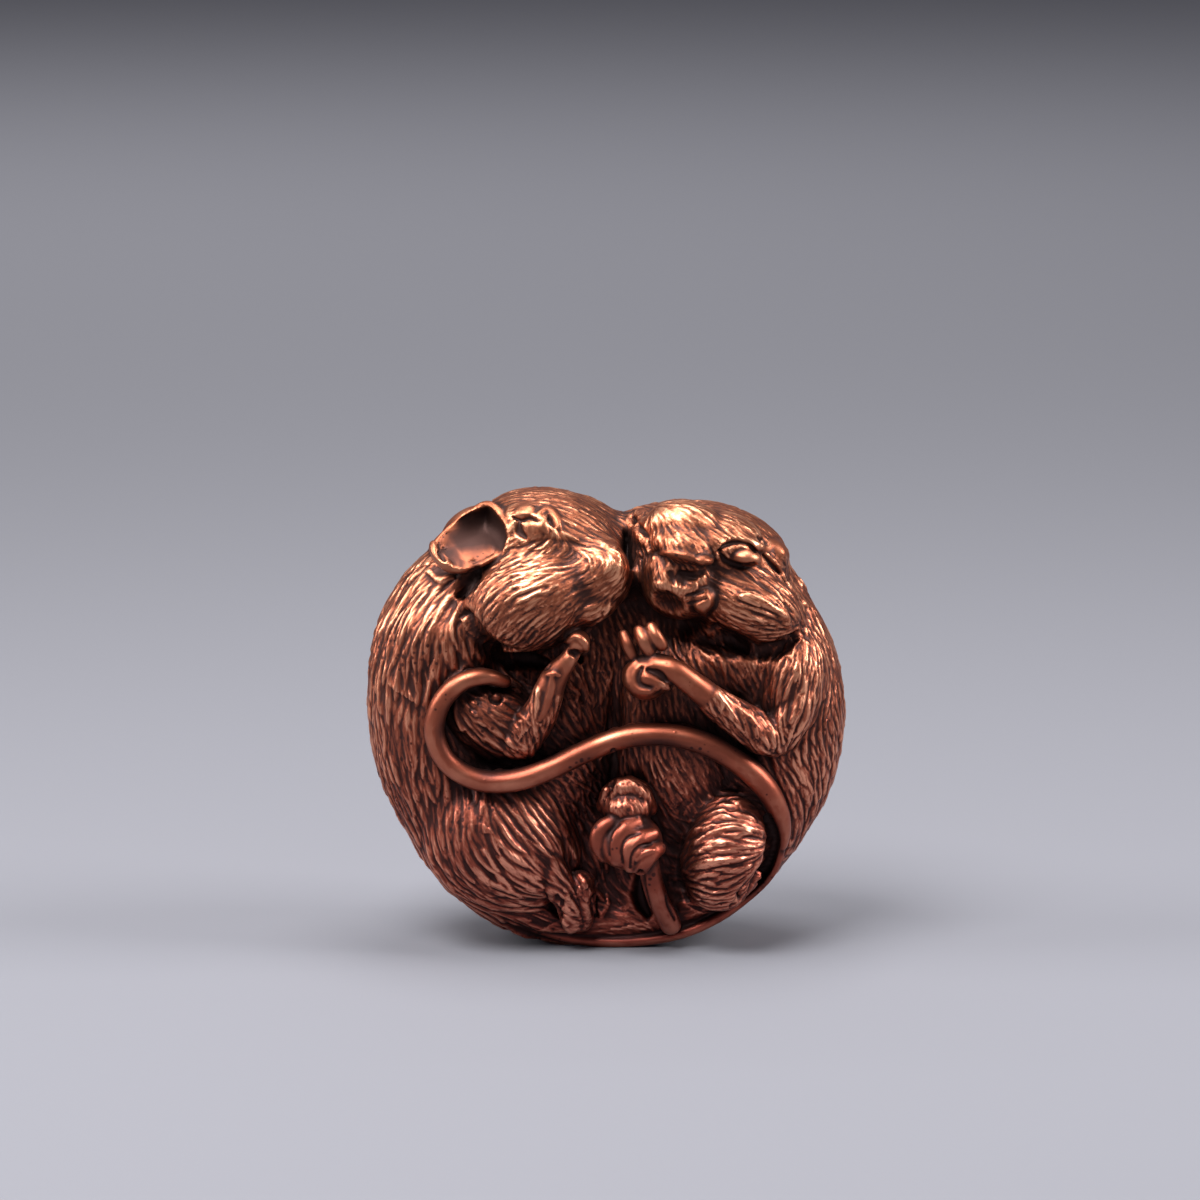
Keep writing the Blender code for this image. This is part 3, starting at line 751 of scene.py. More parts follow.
# %% Guide marks, region by region
GUIDES = {
    "left_head": (
        (-8, 69, -8, 0.55, 0.6), (-4, 67, -30, 0.6, 0.7), (1, 64, -35, 0.6, 0.6), (-13, 67, 170, 0.7, 0.8),
        (-4, 62, -14, 0.75, 0.8), (-6, 60, -160, 0.75, 0.7), (-10, 57, -162, 0.8, 0.8),
        (-14, 59, -163, 0.8, 1.0), (-5, 55, -155, 0.8, 0.6), (-1, 56, -145, 0.8, 0.5),
        (-10, 53, -152, 0.75, 0.75), (-18, 56, -145, 0.75, 0.8), (-6, 51, -140, 0.7, 0.7),
        (-15, 51, -130, 0.75, 0.8), (-20, 52, -120, 0.75, 0.9), (-11, 48, -112, 0.75, 1.1),
        (-7, 48, -100, 0.7, 1.0), (-15, 46, -105, 0.7, 1.1), (-2, 50, -170, 0.7, 0.8),
    ),
    "left_shoulder": (
        (-21, 56, -150, 1.3, 0.5), (-23, 54, -140, 1.6, 0.8), (-25, 51, -120, 2.3, 1.2),
        (-28, 49, -110, 2.0, 1.1), (-31, 46, -100, 1.4, 1.0), (-25, 45, -100, 2.6, 1.3),
        (-26, 41, -88, 1.7, 1.0), (-29, 37, -90, 1.2, 0.2), (-22, 48, -80, 1.3, 1.1), (-21, 43, -85, 1.2, 1.0),
        (-18, 46, -70, 1.0, 0.9),
    ),
    "left_haunch": (
        (-23, 23, -92, 1.3, 0.8), (-18, 23, -90, 1.5, 0.9), (-14, 24, -62, 1.5, 1.0),
        (-10, 24, -50, 1.4, 1.1), (-21, 18, -78, 1.3, 0.9), (-16, 18, -62, 1.7, 1.1),
        (-12, 20, -44, 1.8, 1.25), (-8, 20, -42, 1.7, 1.25), (-6, 21, -62, 1.1, 0.9),
        (-16, 14, -42, 1.7, 1.1), (-10, 15, -40, 1.8, 1.25), (-19, 12, -45, 1.3, 0.9),
        (-14, 9, -28, 1.4, 1.0), (-9, 9, -25, 1.5, 1.0), (-6, 16, -72, 0.9, 0.8),
    ),
    "left_elbow": (
        (-21, 35, -62, 1.3, 1.1), (-18, 34, -50, 1.6, 1.25), (-15, 34, -45, 1.4, 1.1),
        (-18, 38, -38, 1.0, 0.9), (-14, 38, -15, 0.9, 0.9), (-13, 36, -20, 0.9, 0.9),
        (-14, 31, -30, 1.0, 1.0),
    ),
    "left_belly": (
        (-7, 40, -65, 0.8, 1.1), (-4, 41, -80, 0.75, 1.0), (-6, 34, -45, 0.9, 1.2), (-3, 35, -60, 0.8, 1.1),
        (-10, 29, -20, 0.9, 1.1), (-2, 28, -70, 0.8, 1.1), (-1, 37, -95, 0.65, 1.0),
        (-14, 44, -85, 0.8, 0.9), (-5, 28, -50, 0.8, 1.1),
    ),
    "right_belly": (
        (0, 41, -92, 0.65, 0.9), (5, 37, -82, 0.65, 0.9), (10, 37, -80, 0.65, 0.85), (2, 29, -85, 0.7, 0.9),
        (4, 28, -75, 0.75, 0.9), (8, 26, -62, 0.75, 0.9), (13, 28, -58, 0.65, 0.6), (16, 34, -70, 0.7, 0.8),
        (9, 18, -50, 0.7, 0.7), (10, 12, -70, 0.7, 0.7),
    ),
    "right_chest": (
        (9, 46, -60, 0.75, 1.0), (13, 43, -58, 0.9, 1.0), (18, 42, -62, 1.0, 1.0), (17, 38, -60, 0.85, 0.9),
        (22, 43, -75, 0.9, 0.7), (21, 38, -55, 1.0, 1.1),
    ),
    "right_upper_arm": (
        (27, 44, -100, 0.9, 1.0), (26, 39, -108, 1.2, 1.2), (28, 41, -108, 1.1, 1.2),
        (22, 35, -58, 1.3, 1.25), (27, 35, -125, 1.3, 1.25), (24, 36, -85, 1.2, 1.2),
    ),
    "right_haunch": (
        (18, 24, -18, 1.0, 1.0), (15, 21, 6, 1.1, 1.1), (20, 21, -12, 1.1, 0.8), (18, 18, 0, 1.1, 1.3),
        (14, 16, 12, 1.0, 1.3), (21, 17, 0, 1.0, 1.1), (17, 13, 4, 1.1, 1.4), (13, 11, 16, 1.0, 1.4),
        (20, 12, 30, 1.0, 1.1), (15, 8, 26, 1.0, 1.3),
    ),
    "right_head": (
        (7, 66, -75, 0.65, 0.8), (11, 67, -95, 0.7, 0.8), (11, 63, -95, 0.95, 1.4), (8, 62, -72, 0.9, 1.3),
        (14, 62, -112, 0.9, 1.3), (16, 66, -60, 0.6, 0.7), (20, 64, -38, 0.6, 0.7), (15, 68, -15, 0.55, 0.6),
        (16, 58, -30, 0.55, 0.5), (20, 56, -24, 0.9, 0.8), (25, 52, -28, 1.1, 1.1), (20, 52, -20, 1.1, 1.1),
        (25, 49, -10, 1.2, 1.2), (17, 51, -22, 0.8, 0.9), (14, 49, -20, 0.7, 0.9), (15, 54, -25, 0.6, 0.6),
        (6, 56, -70, 0.55, 0.55), (4, 61, -60, 0.7, 1.0), (11, 55, -110, 0.5, 0.45),
    ),
    "coat": (
        (-29, 56, -125, 0.9, 0.7), (-33, 48, -105, 1.1, 0.9), (-33, 41, -92, 1.2, 1.1),
        (-30, 40, -95, 1.4, 1.1), (-31, 36, -90, 1.2, 0.25), (-33, 32, -87, 1.2, 1.0), (-31, 27, -72, 1.2, 1.1),
        (-28, 30, -88, 1.1, 1.0), (-29, 22, -60, 1.1, 0.9), (-27, 16, -52, 1.0, 0.8),
        (-23, 10, -40, 1.0, 0.8), (-17, 5, -28, 0.9, 0.8), (-10, 2, -18, 0.8, 0.5), (-1, 2, -5, 0.7, 0.4),
        (11, 3, -170, 0.8, 0.2), (21, 8, -140, 1.0, 0.15), (26, 15, -118, 1.0, 0.15),
        (28, 20, -64, 1.1, 0.7), (29, 25, -64, 1.1, 1.1), (31, 31, -62, 1.1, 1.1), (33, 37, -62, 1.0, 1.1),
        (33, 43, -64, 0.9, 0.9), (31, 49, -60, 0.75, 0.8), (28, 55, -50, 0.7, 0.7), (23, 61, -40, 0.65, 0.6),
        (0, 13, -85, 0.7, 0.6), (4, 6, -20, 0.7, 0.7),
    ),
}
BACK_GUIDES = (
    (-22, 58, -120, 1.4, 0.48), (-30, 42, -98, 1.6, 0.48), (-30, 24, -70, 1.6, 0.48), (-18, 8, -38, 1.5, 0.42),
    (-14, 50, -100, 2.0, 0.48), (-16, 34, -88, 2.2, 0.48), (-10, 18, -62, 2.0, 0.48), (-2, 62, -92, 1.1, 0.42),
    (-3, 44, -92, 2.0, 0.48), (4, 30, -84, 2.1, 0.48), (4, 8, -30, 1.5, 0.36), (22, 59, -52, 1.1, 0.42),
    (31, 44, -74, 1.5, 0.48), (31, 26, -108, 1.6, 0.48), (20, 9, -138, 1.5, 0.42), (13, 52, -76, 1.9, 0.48),
    (17, 36, -92, 2.2, 0.48), (13, 20, -112, 2.0, 0.48),
)
OWNER = {
    "left_skull": "left_head", "left_brow": "left_head",
    "left_cheek": "left_head", "left_muzzle": "left_head",
    "right_skull": "right_head", "right_muzzle": "right_head", "right_cheek": "right_head",
}
REGIONS = [*GUIDES, "back"]
guides = {**GUIDES, "back": BACK_GUIDES}

FORM_REACH = 1.22
FACES_BACK = 0.15
points = points_of(mice)
normals = normals_of(mice)
closest = np.full(len(points), FORM_REACH)
region = np.full(len(points), REGIONS.index("coat"))
for name, (centre, half, turn) in MASSES.items():
    deep = (points[:, 1] / UNIT - centre[1]) / half[1]
    measure = np.hypot(share_across(points, centre, half, turn), deep)
    nearer = measure < closest
    closest[nearer] = measure[nearer]
    region[nearer] = REGIONS.index(OWNER.get(name, name))
region[normals[:, 1] > FACES_BACK] = REGIONS.index("back")
print({name: int((region == number).sum()) for number, name in enumerate(REGIONS)})

# %% Blend the guides over the skin
GUIDE_REACH = 3.0 * UNIT
GUIDE_CORE = 0.15
GUIDE_FALLOFF = 1.5


def blend_guides(points, normals, region):
    """Direction along the skin, stroke width and depth at each point."""
    comb = np.zeros_like(points)
    width = np.zeros(len(points))
    depth = np.zeros(len(points))
    for number, name in enumerate(REGIONS):
        inside = region == number
        weights = 0
        for x, z, angle, wide, deep in guides[name]:
            away = (points[inside, 0] - x * UNIT) ** 2 + (points[inside, 2] - z * UNIT) ** 2
            weight = 1 / (away / GUIDE_REACH**2 + GUIDE_CORE) ** GUIDE_FALLOFF
            toward = math.cos(math.radians(angle)), 0, math.sin(math.radians(angle))
            comb[inside] += weight[:, None] * toward
            width[inside] += weight * wide * MM
            depth[inside] += weight * deep
            weights = weights + weight
        width[inside] /= weights
        depth[inside] /= weights
    comb -= normals * (comb * normals).sum(1)[:, None]
    comb /= np.maximum(np.linalg.norm(comb, axis=1), 1e-9)[:, None]
    return comb, width, depth


comb, stroke_width, stroke_depth = blend_guides(points, normals, region)
print("stroke width, mm:", (stroke_width.min() / MM).round(2), "to", (stroke_width.max() / MM).round(2))

# %% [markdown]
# ## Bare skin
#
# Tail, paws, toes, noses, eyes and the inside of the ear are smooth bronze, so
# no stroke may cross them. A search tree finds the points near each bare form
# fast, and a number from 0 (fur) to 1 (bare) is kept for every point.

# %% Mark the bare skin
FURRY = ("right_tuft", "left_hind_foot", "left_hind_toe", "upper_toe")
SLEEVED = ("right_forearm", "left_forearm")
BARE_FORMS = ("right_nose_tip", "right_chin", "right_eye", "right_fist", "right_wrist", "left_paw",
              "lower_foot", "left_ear_back", "tail_ball")
BARE_EDGE = 0.35 * MM
BARE_FADE = 0.1


def search_tree(points):
    tree = kdtree.KDTree(len(points))
    for number, point in enumerate(points.tolist()):
        tree.insert(point, number)
    tree.balance()
    return tree


tree = search_tree(points)
bare = np.zeros(len(points))
bars = [
    stations[:3] if name in SLEEVED else stations
    for name, (stations, _) in LIMBS.items() if name not in FURRY
]
bars += [[(x, y, z, share * half_tail) for x, y, z, share in TAIL], RIM_LIP, EAR_LOOP]
for stations in bars:
    for x, y, z, radius in [point * UNIT for point in smooth_path(stations)]:
        for _, number, away in tree.find_range((x, y, z), radius + 2 * BARE_EDGE):
            bare[number] = max(bare[number], min(1, (radius + 2 * BARE_EDGE - away) / BARE_EDGE))
for name in BARE_FORMS:
    centre, half, turn = {**FEATURES, **DETAILS}[name]
    deep = (points[:, 1] / UNIT - centre[1]) / half[1]
    measure = np.hypot(share_across(points, centre, half, turn), deep)
    bare = np.maximum(bare, np.clip((FORM_REACH - measure) / BARE_FADE, 0, 1))
bare = np.maximum(bare, marked_bare)
print("bare share of the skin:", (bare > 0.5).mean().round(2))

# %% [markdown]
# ## Strokes of the tool
#
# One stroke leaves a lock: low at its root, rising to its tip, rounded across,
# then a small step down. Where two locks meet they leave a sharp valley, which
# is what makes carved fur read as fur. Each stroke starts on a point that no
# stroke covers yet, so they lie as evenly as a careful hand would lay them, and
# the highest lock wins at each point. Three passes go on: broad clumps, the locks
# themselves, and fine scratches cut into both. All chance comes from one seeded
# source, so the coat is the same each time.

# %% Lay the strokes
LOCK_HEIGHT = 0.34
LARGEST_LOCK = 0.60 * MM
WIDTH_SPREAD = (0.6, 1.45)
LENGTH_SPREAD = (0.6, 1.4)
HEIGHT_SPREAD = (0.55, 1.15)
GAP_SPREAD = (1.0, 1.7)
MOST_WAVE = 0.35
BEND_SPREAD = 0.12
CROWN_SHIFT = 0.4
LOOK_AHEAD = 0.7
TIP_TAPER = 0.55
ROOT_TAPER = 0.25
TIP_STEP = 0.35
RESTLESS = {"left_belly": 0.55, "right_chest": 0.30, "coat": 0.22, "right_head": 0.24, "left_shoulder": 0.24}
sway = np.array([RESTLESS.get(name, 0.17) for name in REGIONS])[region]
chance = np.random.default_rng(11)


def lay_strokes(width, depth, spacing=1.0, length=5.5):
    """Height of overlapping locks at each point, in metres."""
    height = np.zeros(len(points))
    taken = (bare > 0.6) | (depth < 0.05)
    laid = 0
    for start in chance.permutation(len(points)).tolist():
        if taken[start]:
            continue
        laid += 1
        centre, normal = points[start], normals[start]
        half_wide = 0.5 * width[start] * chance.uniform(*WIDTH_SPREAD)
        half_long = 0.5 * width[start] * length * chance.uniform(*LENGTH_SPREAD)
        turn = chance.normal(0, sway[start])
        along = comb[start] * math.cos(turn) + np.cross(normal, comb[start]) * math.sin(turn)
        side = np.cross(normal, along)
        ahead = comb[tree.find(centre + along * half_long * LOOK_AHEAD)[1]] @ side
        behind = comb[tree.find(centre - along * half_long * LOOK_AHEAD)[1]] @ side
        bend = 0.5 * half_long * (LOOK_AHEAD * (ahead - behind) + chance.normal(0, BEND_SPREAD))
        lean = 0.25 * half_long * (ahead + behind)
        wave, phase = chance.uniform(0, MOST_WAVE), chance.uniform(0, 2 * math.pi)
        near = np.array([number for _, number, _ in tree.find_range(centre, half_long + half_wide)])
        offset = points[near] - centre
        t = offset @ along / half_long
        u = (offset @ side - bend * t * t - lean * t) / half_wide - wave * np.sin(3 * t + phase)
        same_side = (normals[near] @ normal > 0.45) & (np.abs(offset @ normal) < 1.3 * half_long)
        gap = spacing * chance.uniform(*GAP_SPREAD)
        taken[near[same_side & (np.abs(t) < 0.55) & (np.abs(u) < gap)]] = True
        narrow = 1 - TIP_TAPER * np.clip(t, 0, 1) ** 2 - ROOT_TAPER * np.clip(-t, 0, 1) ** 2
        lock = same_side & (np.abs(t) < 1) & (np.abs(u) < narrow)
        t, u = t[lock], u[lock] / narrow[lock]
        u = u + chance.uniform(-CROWN_SHIFT, CROWN_SHIFT) * (1 - u * u)
        rounded = (1 - np.abs(u) ** 1.5) ** 0.8
        lift = rounded * np.sqrt((t + 1) / 1.6) * np.minimum(1, (1 - t) / TIP_STEP) ** 0.5
        full_height = min(LOCK_HEIGHT * 2 * half_wide * depth[start], LARGEST_LOCK)
        amount = full_height * chance.uniform(*HEIGHT_SPREAD)
        np.maximum.at(height, near[lock], amount * lift)
    print("strokes laid:", laid)
    return height


# A clump is a few locks wide and a third as deep. A scratch is half a lock wide,
# but no finer than the skin can hold.
FINEST_SCRATCH = 0.42 * MM
scratch_width = np.maximum(0.5 * stroke_width, FINEST_SCRATCH)
clumps = lay_strokes(2.6 * stroke_width, 0.32 * stroke_depth, spacing=0.8)
locks = lay_strokes(stroke_width, stroke_depth)
scratches = lay_strokes(scratch_width, 0.7 * stroke_depth, spacing=1.9, length=7.0)
print("deepest lock, mm:", (locks.max() / MM).round(2))

# %% Carve them into the skin
# About the mean height of the locks is taken off again, so the form keeps its size.
MEAN_LIFT = 0.62
normal_lift = clumps + locks - scratches - MEAN_LIFT * LOCK_HEIGHT * stroke_width * stroke_depth
set_points(mice, points + normals * (normal_lift * (1 - bare))[:, None])
apply_modifier(mice, "SMOOTH", factor=0.2, iterations=1)
form = points_of(mice)
print("carved box, mm:", ((form.max(0) - form.min(0)) / MM).round(2))

# %% Thin the skin, the plain back first
# The skin now has several times the triangles that it may keep. The plain back
# gives up most of its own, so the carved front keeps its fine strokes.
MOST_AT_THE_BACK = 26000
FACES_BEHIND = 0.1
BEHIND_FROM = 1 * MM


def thin(obj, chosen, wanted):
    """Collapses the chosen triangles until only the wanted number of them is left."""
    select_only(obj)
    bpy.ops.object.mode_set(mode="EDIT")
    bpy.ops.mesh.select_mode(type="FACE")
    bpy.ops.mesh.select_all(action="DESELECT")
    bpy.ops.object.mode_set(mode="OBJECT")
    obj.data.polygons.foreach_set("select", chosen)
    bpy.ops.object.mode_set(mode="EDIT")
    bpy.ops.mesh.decimate(ratio=min(1, wanted / chosen.sum()))
    bpy.ops.object.mode_set(mode="OBJECT")


def faces_behind(obj):
    facing = np.empty(len(obj.data.polygons) * 3)
    obj.data.polygons.foreach_get("normal", facing)
    centres = np.empty(len(obj.data.polygons) * 3)
    obj.data.polygons.foreach_get("center", centres)
    return (facing[1::3] > FACES_BEHIND) & (centres[1::3] > BEHIND_FROM)


apply_modifier(mice, "TRIANGULATE")
thin(mice, faces_behind(mice), MOST_AT_THE_BACK)
print("after the back:", len(mice.data.polygons), "triangles")
behind = faces_behind(mice)
thin(mice, ~behind, MOST_TRIANGLES - behind.sum())
print("skin:", len(mice.data.polygons), "triangles")

# %% Stand it on its foot, in the frame of the solid
set_points(mice, points_of(mice) + shift)
select_only(mice)
bpy.ops.object.mode_set(mode="EDIT")
bpy.ops.mesh.select_all(action="SELECT")
bpy.ops.mesh.bisect(plane_co=(0, 0, solid_low[2]), plane_no=(0, 0, 1), use_fill=True, clear_inner=True)
bpy.ops.mesh.select_all(action="SELECT")
bpy.ops.mesh.quads_convert_to_tris()
bpy.ops.object.mode_set(mode="OBJECT")
bpy.ops.object.shade_smooth()
form = points_of(mice)
print("box, mm:", (form.min(0) / MM).round(2), (form.max(0) / MM).round(2))

# %% [markdown]
# ## What the patina and the painted shade need to know
#
# A patina is dark where it was left and coppery where it was rubbed off again.
# Rubbing reaches crests and misses valleys. Comparing each point with the mean
# of its neighbours tells a crest from a valley. Rays sent out from each point
# tell how open it is. Closed hollows are painted darker, partly as the patina that
# a cloth can't reach and partly as painted shade. Both numbers and the lie of the
# fur are stored on the mesh as attributes.

# %% Measure crests and valleys
CREST_RINGS = 4
CREST_HEIGHT = 0.10 * MM
edges = np.empty(len(mice.data.edges) * 2, dtype=int)
mice.data.edges.foreach_get("vertices", edges)
edge_a, edge_b = edges.reshape(-1, 2).T
neighbours = np.bincount(np.concatenate([edge_a, edge_b]), minlength=len(form)).astype(float)


def averaged(values, times):
    """Values blurred over the skin, a ring of neighbours at a time."""
    values = values.copy()
    for _ in range(times):
        columns = values.reshape(len(values), -1)
        total = np.stack([
            np.bincount(edge_a, column[edge_b], len(values))
            + np.bincount(edge_b, column[edge_a], len(values))
            for column in columns.T
        ], axis=1)
        values = ((columns + total) / (1 + neighbours)[:, None]).reshape(values.shape)
    return values


def keep_attribute(obj, name, values):
    attribute = obj.data.attributes.new(name, "FLOAT", "POINT")
    attribute.data.foreach_set("value", np.ascontiguousarray(values, dtype=np.float32))


flat_normals = averaged(normals_of(mice), 3)
raised = ((form - averaged(form, CREST_RINGS)) * flat_normals).sum(1) / CREST_HEIGHT
keep_attribute(mice, "crest", np.clip(0.5 + 0.5 * raised, 0, 1))
print("crest spread:", np.percentile(raised, [5, 50, 95]).round(2))

# %% How open each point is to the light, which paints shade into closed hollows
RAYS = 12
RAY_REACH = 13 * MM
RAY_START = 0.12

skin = BVHTree.FromPolygons(form.tolist(), [tuple(face.vertices) for face in mice.data.polygons])
painted_shade_open_share = np.zeros(len(form))
lift = form + flat_normals * RAY_START * MM
golden = math.pi * (3 - math.sqrt(5))
spiral = np.array([
    (
        math.sqrt((k + 0.5) / RAYS) * math.cos(golden * k),
        math.sqrt((k + 0.5) / RAYS) * math.sin(golden * k),
        math.sqrt(1 - (k + 0.5) / RAYS),
    ) for k in range(RAYS)
])
helper = np.where(np.abs(flat_normals[:, :1]) > 0.7, (0.0, 1.0, 0.0), (1.0, 0.0, 0.0))
across = np.cross(flat_normals, helper)
across /= np.linalg.norm(across, axis=1)[:, None]
upward = np.cross(flat_normals, across)
for a, b, c in spiral:
    rays = a * across + b * upward + c * flat_normals
    hits = [skin.ray_cast(start, ray, RAY_REACH)[3] for start, ray in zip(lift.tolist(), rays.tolist())]
    painted_shade_open_share += np.array([1 if hit is None else hit / RAY_REACH for hit in hits]) / RAYS
# The open attribute darkens the colour of closed hollows: painted shade, with the patina left there.
keep_attribute(mice, "open", averaged(painted_shade_open_share, 2))
print("mean openness:", painted_shade_open_share.mean().round(2))

# %% Which way the fur lies, kept for the finish
nearest = [tree.find(point)[1] for point in (form - shift).tolist()]
lay = (comb * (1 - bare)[:, None])[nearest]
lay_attribute = mice.data.attributes.new("lay", "FLOAT_VECTOR", "POINT")
lay_attribute.data.foreach_set("vector", lay.astype(np.float32).ravel())
print("furry share:", (np.linalg.norm(lay, axis=1) > 0.5).mean().round(2))

# %% [markdown]
# ## Patinated bronze
#
# The metal is cast bronze. A hot chemical patina turned it dark brown, then the
# high places were rubbed back to a warm copper colour and waxed. To the eye that
# gives near black valleys, a red brown middle, and crests that shine orange to
# pink. One number, the wear and painted shade, is the product of six: crest,
# openness, hair lines, clouds, fur or bare skin, and pits. It picks the colour.
# The openness paints shade into closed hollows, on top of the patina left there.
# The wax keeps the shine soft, and valleys are duller than crests. The hue drifts
# a little with height.

# %% The bronze
def linear(hex_colour):
    """sRGB hex to linear RGBA."""
    parts = [int(hex_colour[place:place + 2], 16) / 255 for place in (0, 2, 4)]
    return (*[part / 12.92 if part <= 0.04045 else ((part + 0.055) / 1.055) ** 2.4 for part in parts], 1)


def add_node(tree, kind, inputs=(), **settings):
    """Adds a node, sets its properties, and gives each named or numbered input a value or a link."""
    node = tree.nodes.new(kind)
    for name, value in settings.items():
        setattr(node, name, value)
    for socket, source in inputs:
        if isinstance(source, bpy.types.NodeSocket):
            tree.links.new(source, node.inputs[socket])
        else:
            node.inputs[socket].default_value = source
    return node


bronze = bpy.data.materials.new("patinated_cast_bronze")
bronze.use_nodes = True
nodes = bronze.node_tree
shader = nodes.nodes["Principled BSDF"]
place = add_node(nodes, "ShaderNodeTexCoord").outputs["Object"]
crest = add_node(nodes, "ShaderNodeAttribute", attribute_name="crest").outputs["Fac"]
# The open attribute is read for the painted shade of closed hollows as well as their patina.
painted_shade_openness = add_node(nodes, "ShaderNodeAttribute", attribute_name="open").outputs["Fac"]
lay_on_skin = add_node(nodes, "ShaderNodeAttribute", attribute_name="lay").outputs["Vector"]

# %% Hair lines
# The tool left lines finer than a lock. They are drawn 0.3 mm wide, about twice as
# coarse as they are, so they show. Noise is stretched in six directions, and each
# counts by how well it matches the lie of the fur. Both sums start just above
# zero, in a ratio of one half, so bare skin gets an even value.
HAIR_WIDE = 0.30 * MM
HAIR_LONG = 3.2 * MM
HAIR_DIRECTIONS = 6
HAIR_MATCH = 8.0
hair = 0.01
shares = 0.02
for step in range(HAIR_DIRECTIONS):
    angle = math.pi * step / HAIR_DIRECTIONS
    turned = add_node(nodes, "ShaderNodeMapping", [
        ("Vector", place), ("Rotation", (0, -angle, 0)), ("Scale", (HAIR_LONG, HAIR_WIDE, HAIR_WIDE)),
    ], vector_type="TEXTURE")
    lines = add_node(nodes, "ShaderNodeTexNoise", [
        ("Vector", turned.outputs[0]), ("Scale", 1.0), ("Detail", 1.0), ("Distortion", 0.3),
    ])
    match = add_node(nodes, "ShaderNodeVectorMath", [
        (0, lay_on_skin), (1, (math.cos(angle), 0, math.sin(angle))),
    ], operation="DOT_PRODUCT")
    share = add_node(nodes, "ShaderNodeMath", [
        (0, match.outputs["Value"]), (1, HAIR_MATCH),
    ], operation="POWER").outputs[0]
    hair = add_node(nodes, "ShaderNodeMath", [(0, share), (1, lines.outputs["Fac"]), (2, hair)],
                    operation="MULTIPLY_ADD").outputs[0]
    shares = add_node(nodes, "ShaderNodeMath", [(0, share), (1, shares)], operation="ADD").outputs[0]
hair = add_node(nodes, "ShaderNodeMath", [(0, hair), (1, shares)], operation="DIVIDE").outputs[0]

# %% Clouds, grit, pimples and pits
# Clouds of patina are about 8 mm across. Grit of the mould is 0.6 mm and casting
# pimples stand 1.8 mm apart, both drawn coarse enough to show. Pits are 1.1 mm
# apart and show only where the clouds are thin.
CLOUD = 8 * MM
GRIT = 0.6 * MM
PIMPLES_APART = 1.8 * MM
PITS_APART = 1.1 * MM
cloud = add_node(nodes, "ShaderNodeTexNoise", [("Vector", place), ("Scale", 1 / CLOUD), ("Detail", 4.0)])
grit = add_node(nodes, "ShaderNodeTexNoise", [("Vector", place), ("Scale", 1 / GRIT), ("Detail", 4.0)])
cells = add_node(nodes, "ShaderNodeTexVoronoi", [("Vector", place), ("Scale", 1 / PIMPLES_APART)])
scattered = add_node(nodes, "ShaderNodeTexVoronoi", [("Vector", place), ("Scale", 1 / PITS_APART)])
in_patches = add_node(nodes, "ShaderNodeMath", [
    (0, cloud.outputs["Fac"]), (1, 1.6), (2, scattered.outputs["Distance"]),
], operation="MULTIPLY_ADD")
fur = add_node(nodes, "ShaderNodeVectorMath", [(0, lay_on_skin)], operation="LENGTH").outputs["Value"]
height = add_node(nodes, "ShaderNodeSeparateXYZ", [("Vector", place)]).outputs["Z"]
print("nodes so far:", len(nodes.nodes))

# %% Wear and painted shade
# Each line holds what is read, the range it is read over, and the wear it gives.
# The openness line paints shade into closed hollows as well as keeping their patina.
RANGE = ("From Min", "From Max", "To Min", "To Max")
WEAR_AND_PAINTED_SHADE = (
    (crest, 0.22, 0.90, 0.16, 1.0),
    # Openness: painted shade in closed hollows, on top of the patina kept there.
    (painted_shade_openness, 0.25, 0.95, 0.05, 1.0),
    (hair, 0.34, 0.62, 0.72, 1.08),
    (cloud.outputs["Fac"], 0.35, 0.65, 0.72, 1.12),
    (fur, 0.0, 1.0, 0.74, 1.0),
    (in_patches.outputs[0], 0.76, 0.92, 0.35, 1.0),
)
wear_and_painted_shade = 1.0
for source, *ends in WEAR_AND_PAINTED_SHADE:
    part = add_node(nodes, "ShaderNodeMapRange", [("Value", source), *zip(RANGE, ends)]).outputs[0]
    wear_and_painted_shade = add_node(nodes, "ShaderNodeMath", [(0, part), (1, wear_and_painted_shade)], operation="MULTIPLY").outputs[0]
print("wear is the product of", len(WEAR_AND_PAINTED_SHADE), "numbers")

# %% Colour, metal and roughness from the wear and the painted shade
ramp = add_node(nodes, "ShaderNodeValToRGB", [("Fac", wear_and_painted_shade)])
# The dark end of the ramp holds the dark patina and the painted shade of closed hollows.
ramp.color_ramp.elements[0].color = linear("1d100f")
ramp.color_ramp.elements[1].color = linear("de9678")
for position, hex_colour in ((0.25, "4c2822"), (0.60, "96503d")):
    ramp.color_ramp.elements.new(position).color = linear(hex_colour)
ranges = {}
for name, source, *ends in (
    ("hue", height, 0.0, 68 * MM, 0.492, 0.510),
    ("roughness", wear_and_painted_shade, 0.0, 0.8, 0.55, 0.38),
    ("metal", wear_and_painted_shade, 0.0, 0.5, 0.75, 1.0),
    ("pimples", cells.outputs["Distance"], 0.04, 0.14, 1.0, 0.0),
):
    ranges[name] = add_node(nodes, "ShaderNodeMapRange", [("Value", source), *zip(RANGE, ends)]).outputs[0]
tinted = add_node(nodes, "ShaderNodeHueSaturation", [
    ("Hue", ranges["hue"]), ("Color", ramp.outputs["Color"]),
])

# %% Bump: hair lines, grit and pimples, too fine to be mesh
surface = None
for source, strength, high in (
    (hair, 0.4, 0.22 * MM),
    (grit.outputs["Fac"], 0.25, 0.05 * MM),
    (ranges["pimples"], 0.5, 0.04 * MM),
):
    inputs = [("Height", source), ("Strength", strength), ("Distance", high)]
    if surface:
        inputs.append(("Normal", surface))
    surface = add_node(nodes, "ShaderNodeBump", inputs).outputs[0]
for socket, source in (
    ("Base Color", tinted.outputs[0]),
    ("Roughness", ranges["roughness"]),
    ("Metallic", ranges["metal"]),
    ("Normal", surface),
):
    nodes.links.new(source, shader.inputs[socket])
mice.data.materials.clear()
mice.data.materials.append(bronze)
print("finish:", bronze.name, "with", len(nodes.nodes), "nodes")

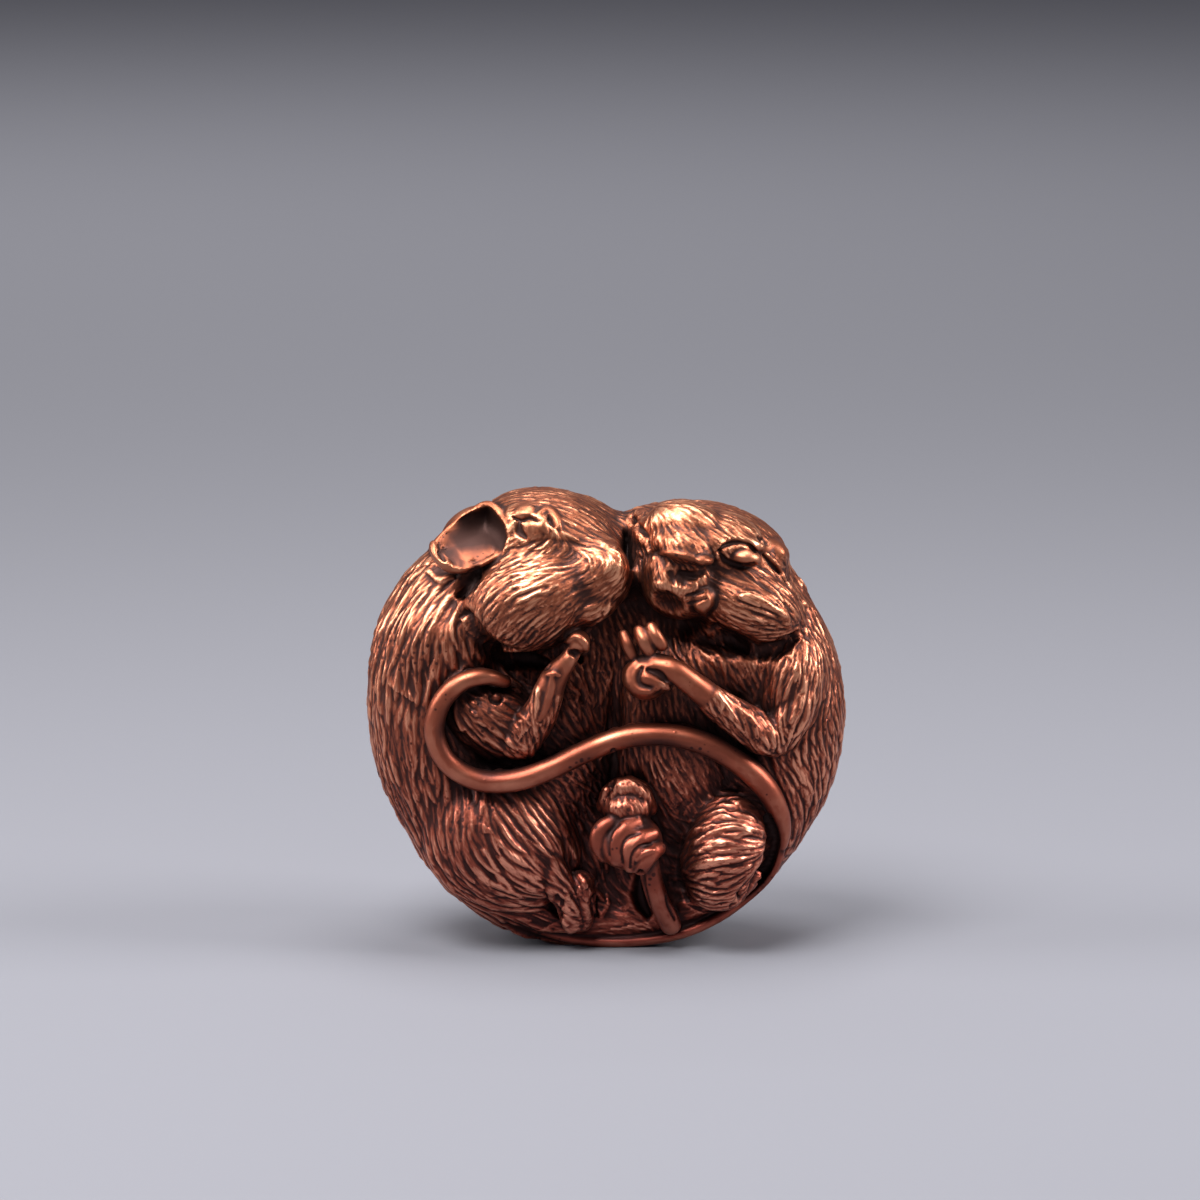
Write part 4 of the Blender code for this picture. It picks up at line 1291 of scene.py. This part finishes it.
# %% [markdown]
# ## Floor and light
#
# The casting stands on a plain sheet of grey paper. Four soft boxes light it from
# the front left, the top and both sides, so the crests shine softly, and a fifth
# lights the paper behind. Bronze shows its form by what it mirrors, which is why
# the boxes are large and stand close.

# %% Floor
bpy.ops.mesh.primitive_plane_add(size=1, location=(0, 0, 0))
floor = bpy.context.object
floor.name = "floor"
set_points(floor, points_of(floor) * (8.0, 8.0, 1.0) + (0, 2.0, solid_low[2]))
paper = bpy.data.materials.new("matt_grey_paper")
paper.use_nodes = True
paper.node_tree.nodes["Principled BSDF"].inputs["Base Color"].default_value = linear("65656b")
paper.node_tree.nodes["Principled BSDF"].inputs["Roughness"].default_value = 0.9
floor.data.materials.append(paper)
print("floor:", paper.name)

# %% Soft boxes


def soft_light(name, place, aim, size, watts):
    """A rectangular lamp; places and sizes in metres."""
    light = bpy.data.lights.new(name, "AREA")
    light.shape = "RECTANGLE"
    light.size, light.size_y = size
    light.energy = watts
    lamp = bpy.data.objects.new(name, light)
    lamp.location = place
    lamp.rotation_euler = (Vector(aim) - Vector(place)).to_track_quat("-Z", "Y").to_euler()
    bpy.context.scene.collection.objects.link(lamp)


middle_of_form = (0, 0, 0.035)
soft_light("key_softbox", (-0.20, -0.30, 0.60), middle_of_form, (0.34, 0.34), 8.5)
soft_light("top_softbox", (0.04, 0.06, 0.62), middle_of_form, (0.34, 0.26), 3.4)
soft_light("left_softbox", (-0.58, -0.06, 0.34), middle_of_form, (0.25, 0.40), 4)
soft_light("right_softbox", (0.58, -0.10, 0.38), middle_of_form, (0.25, 0.40), 6)
soft_light("backdrop_softbox", (-0.40, 1.00, 1.20), (-0.40, 2.20, 0), (1.6, 1.0), 34)
bpy.context.scene.view_settings.view_transform = "Standard"
world = bpy.data.worlds.new("studio")
bpy.context.scene.world = world
world.use_nodes = True
world.node_tree.nodes["Background"].inputs["Color"].default_value = linear("9a9aa6")
world.node_tree.nodes["Background"].inputs["Strength"].default_value = 0.5

# %% [markdown]
# ## Hand over
#
# The one piece stands for the whole casting, so it takes the place of the plain
# solid. The sizes before and after are written down to be compared.

# %% Hand over
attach(mice, "root")
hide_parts("mice_casting")
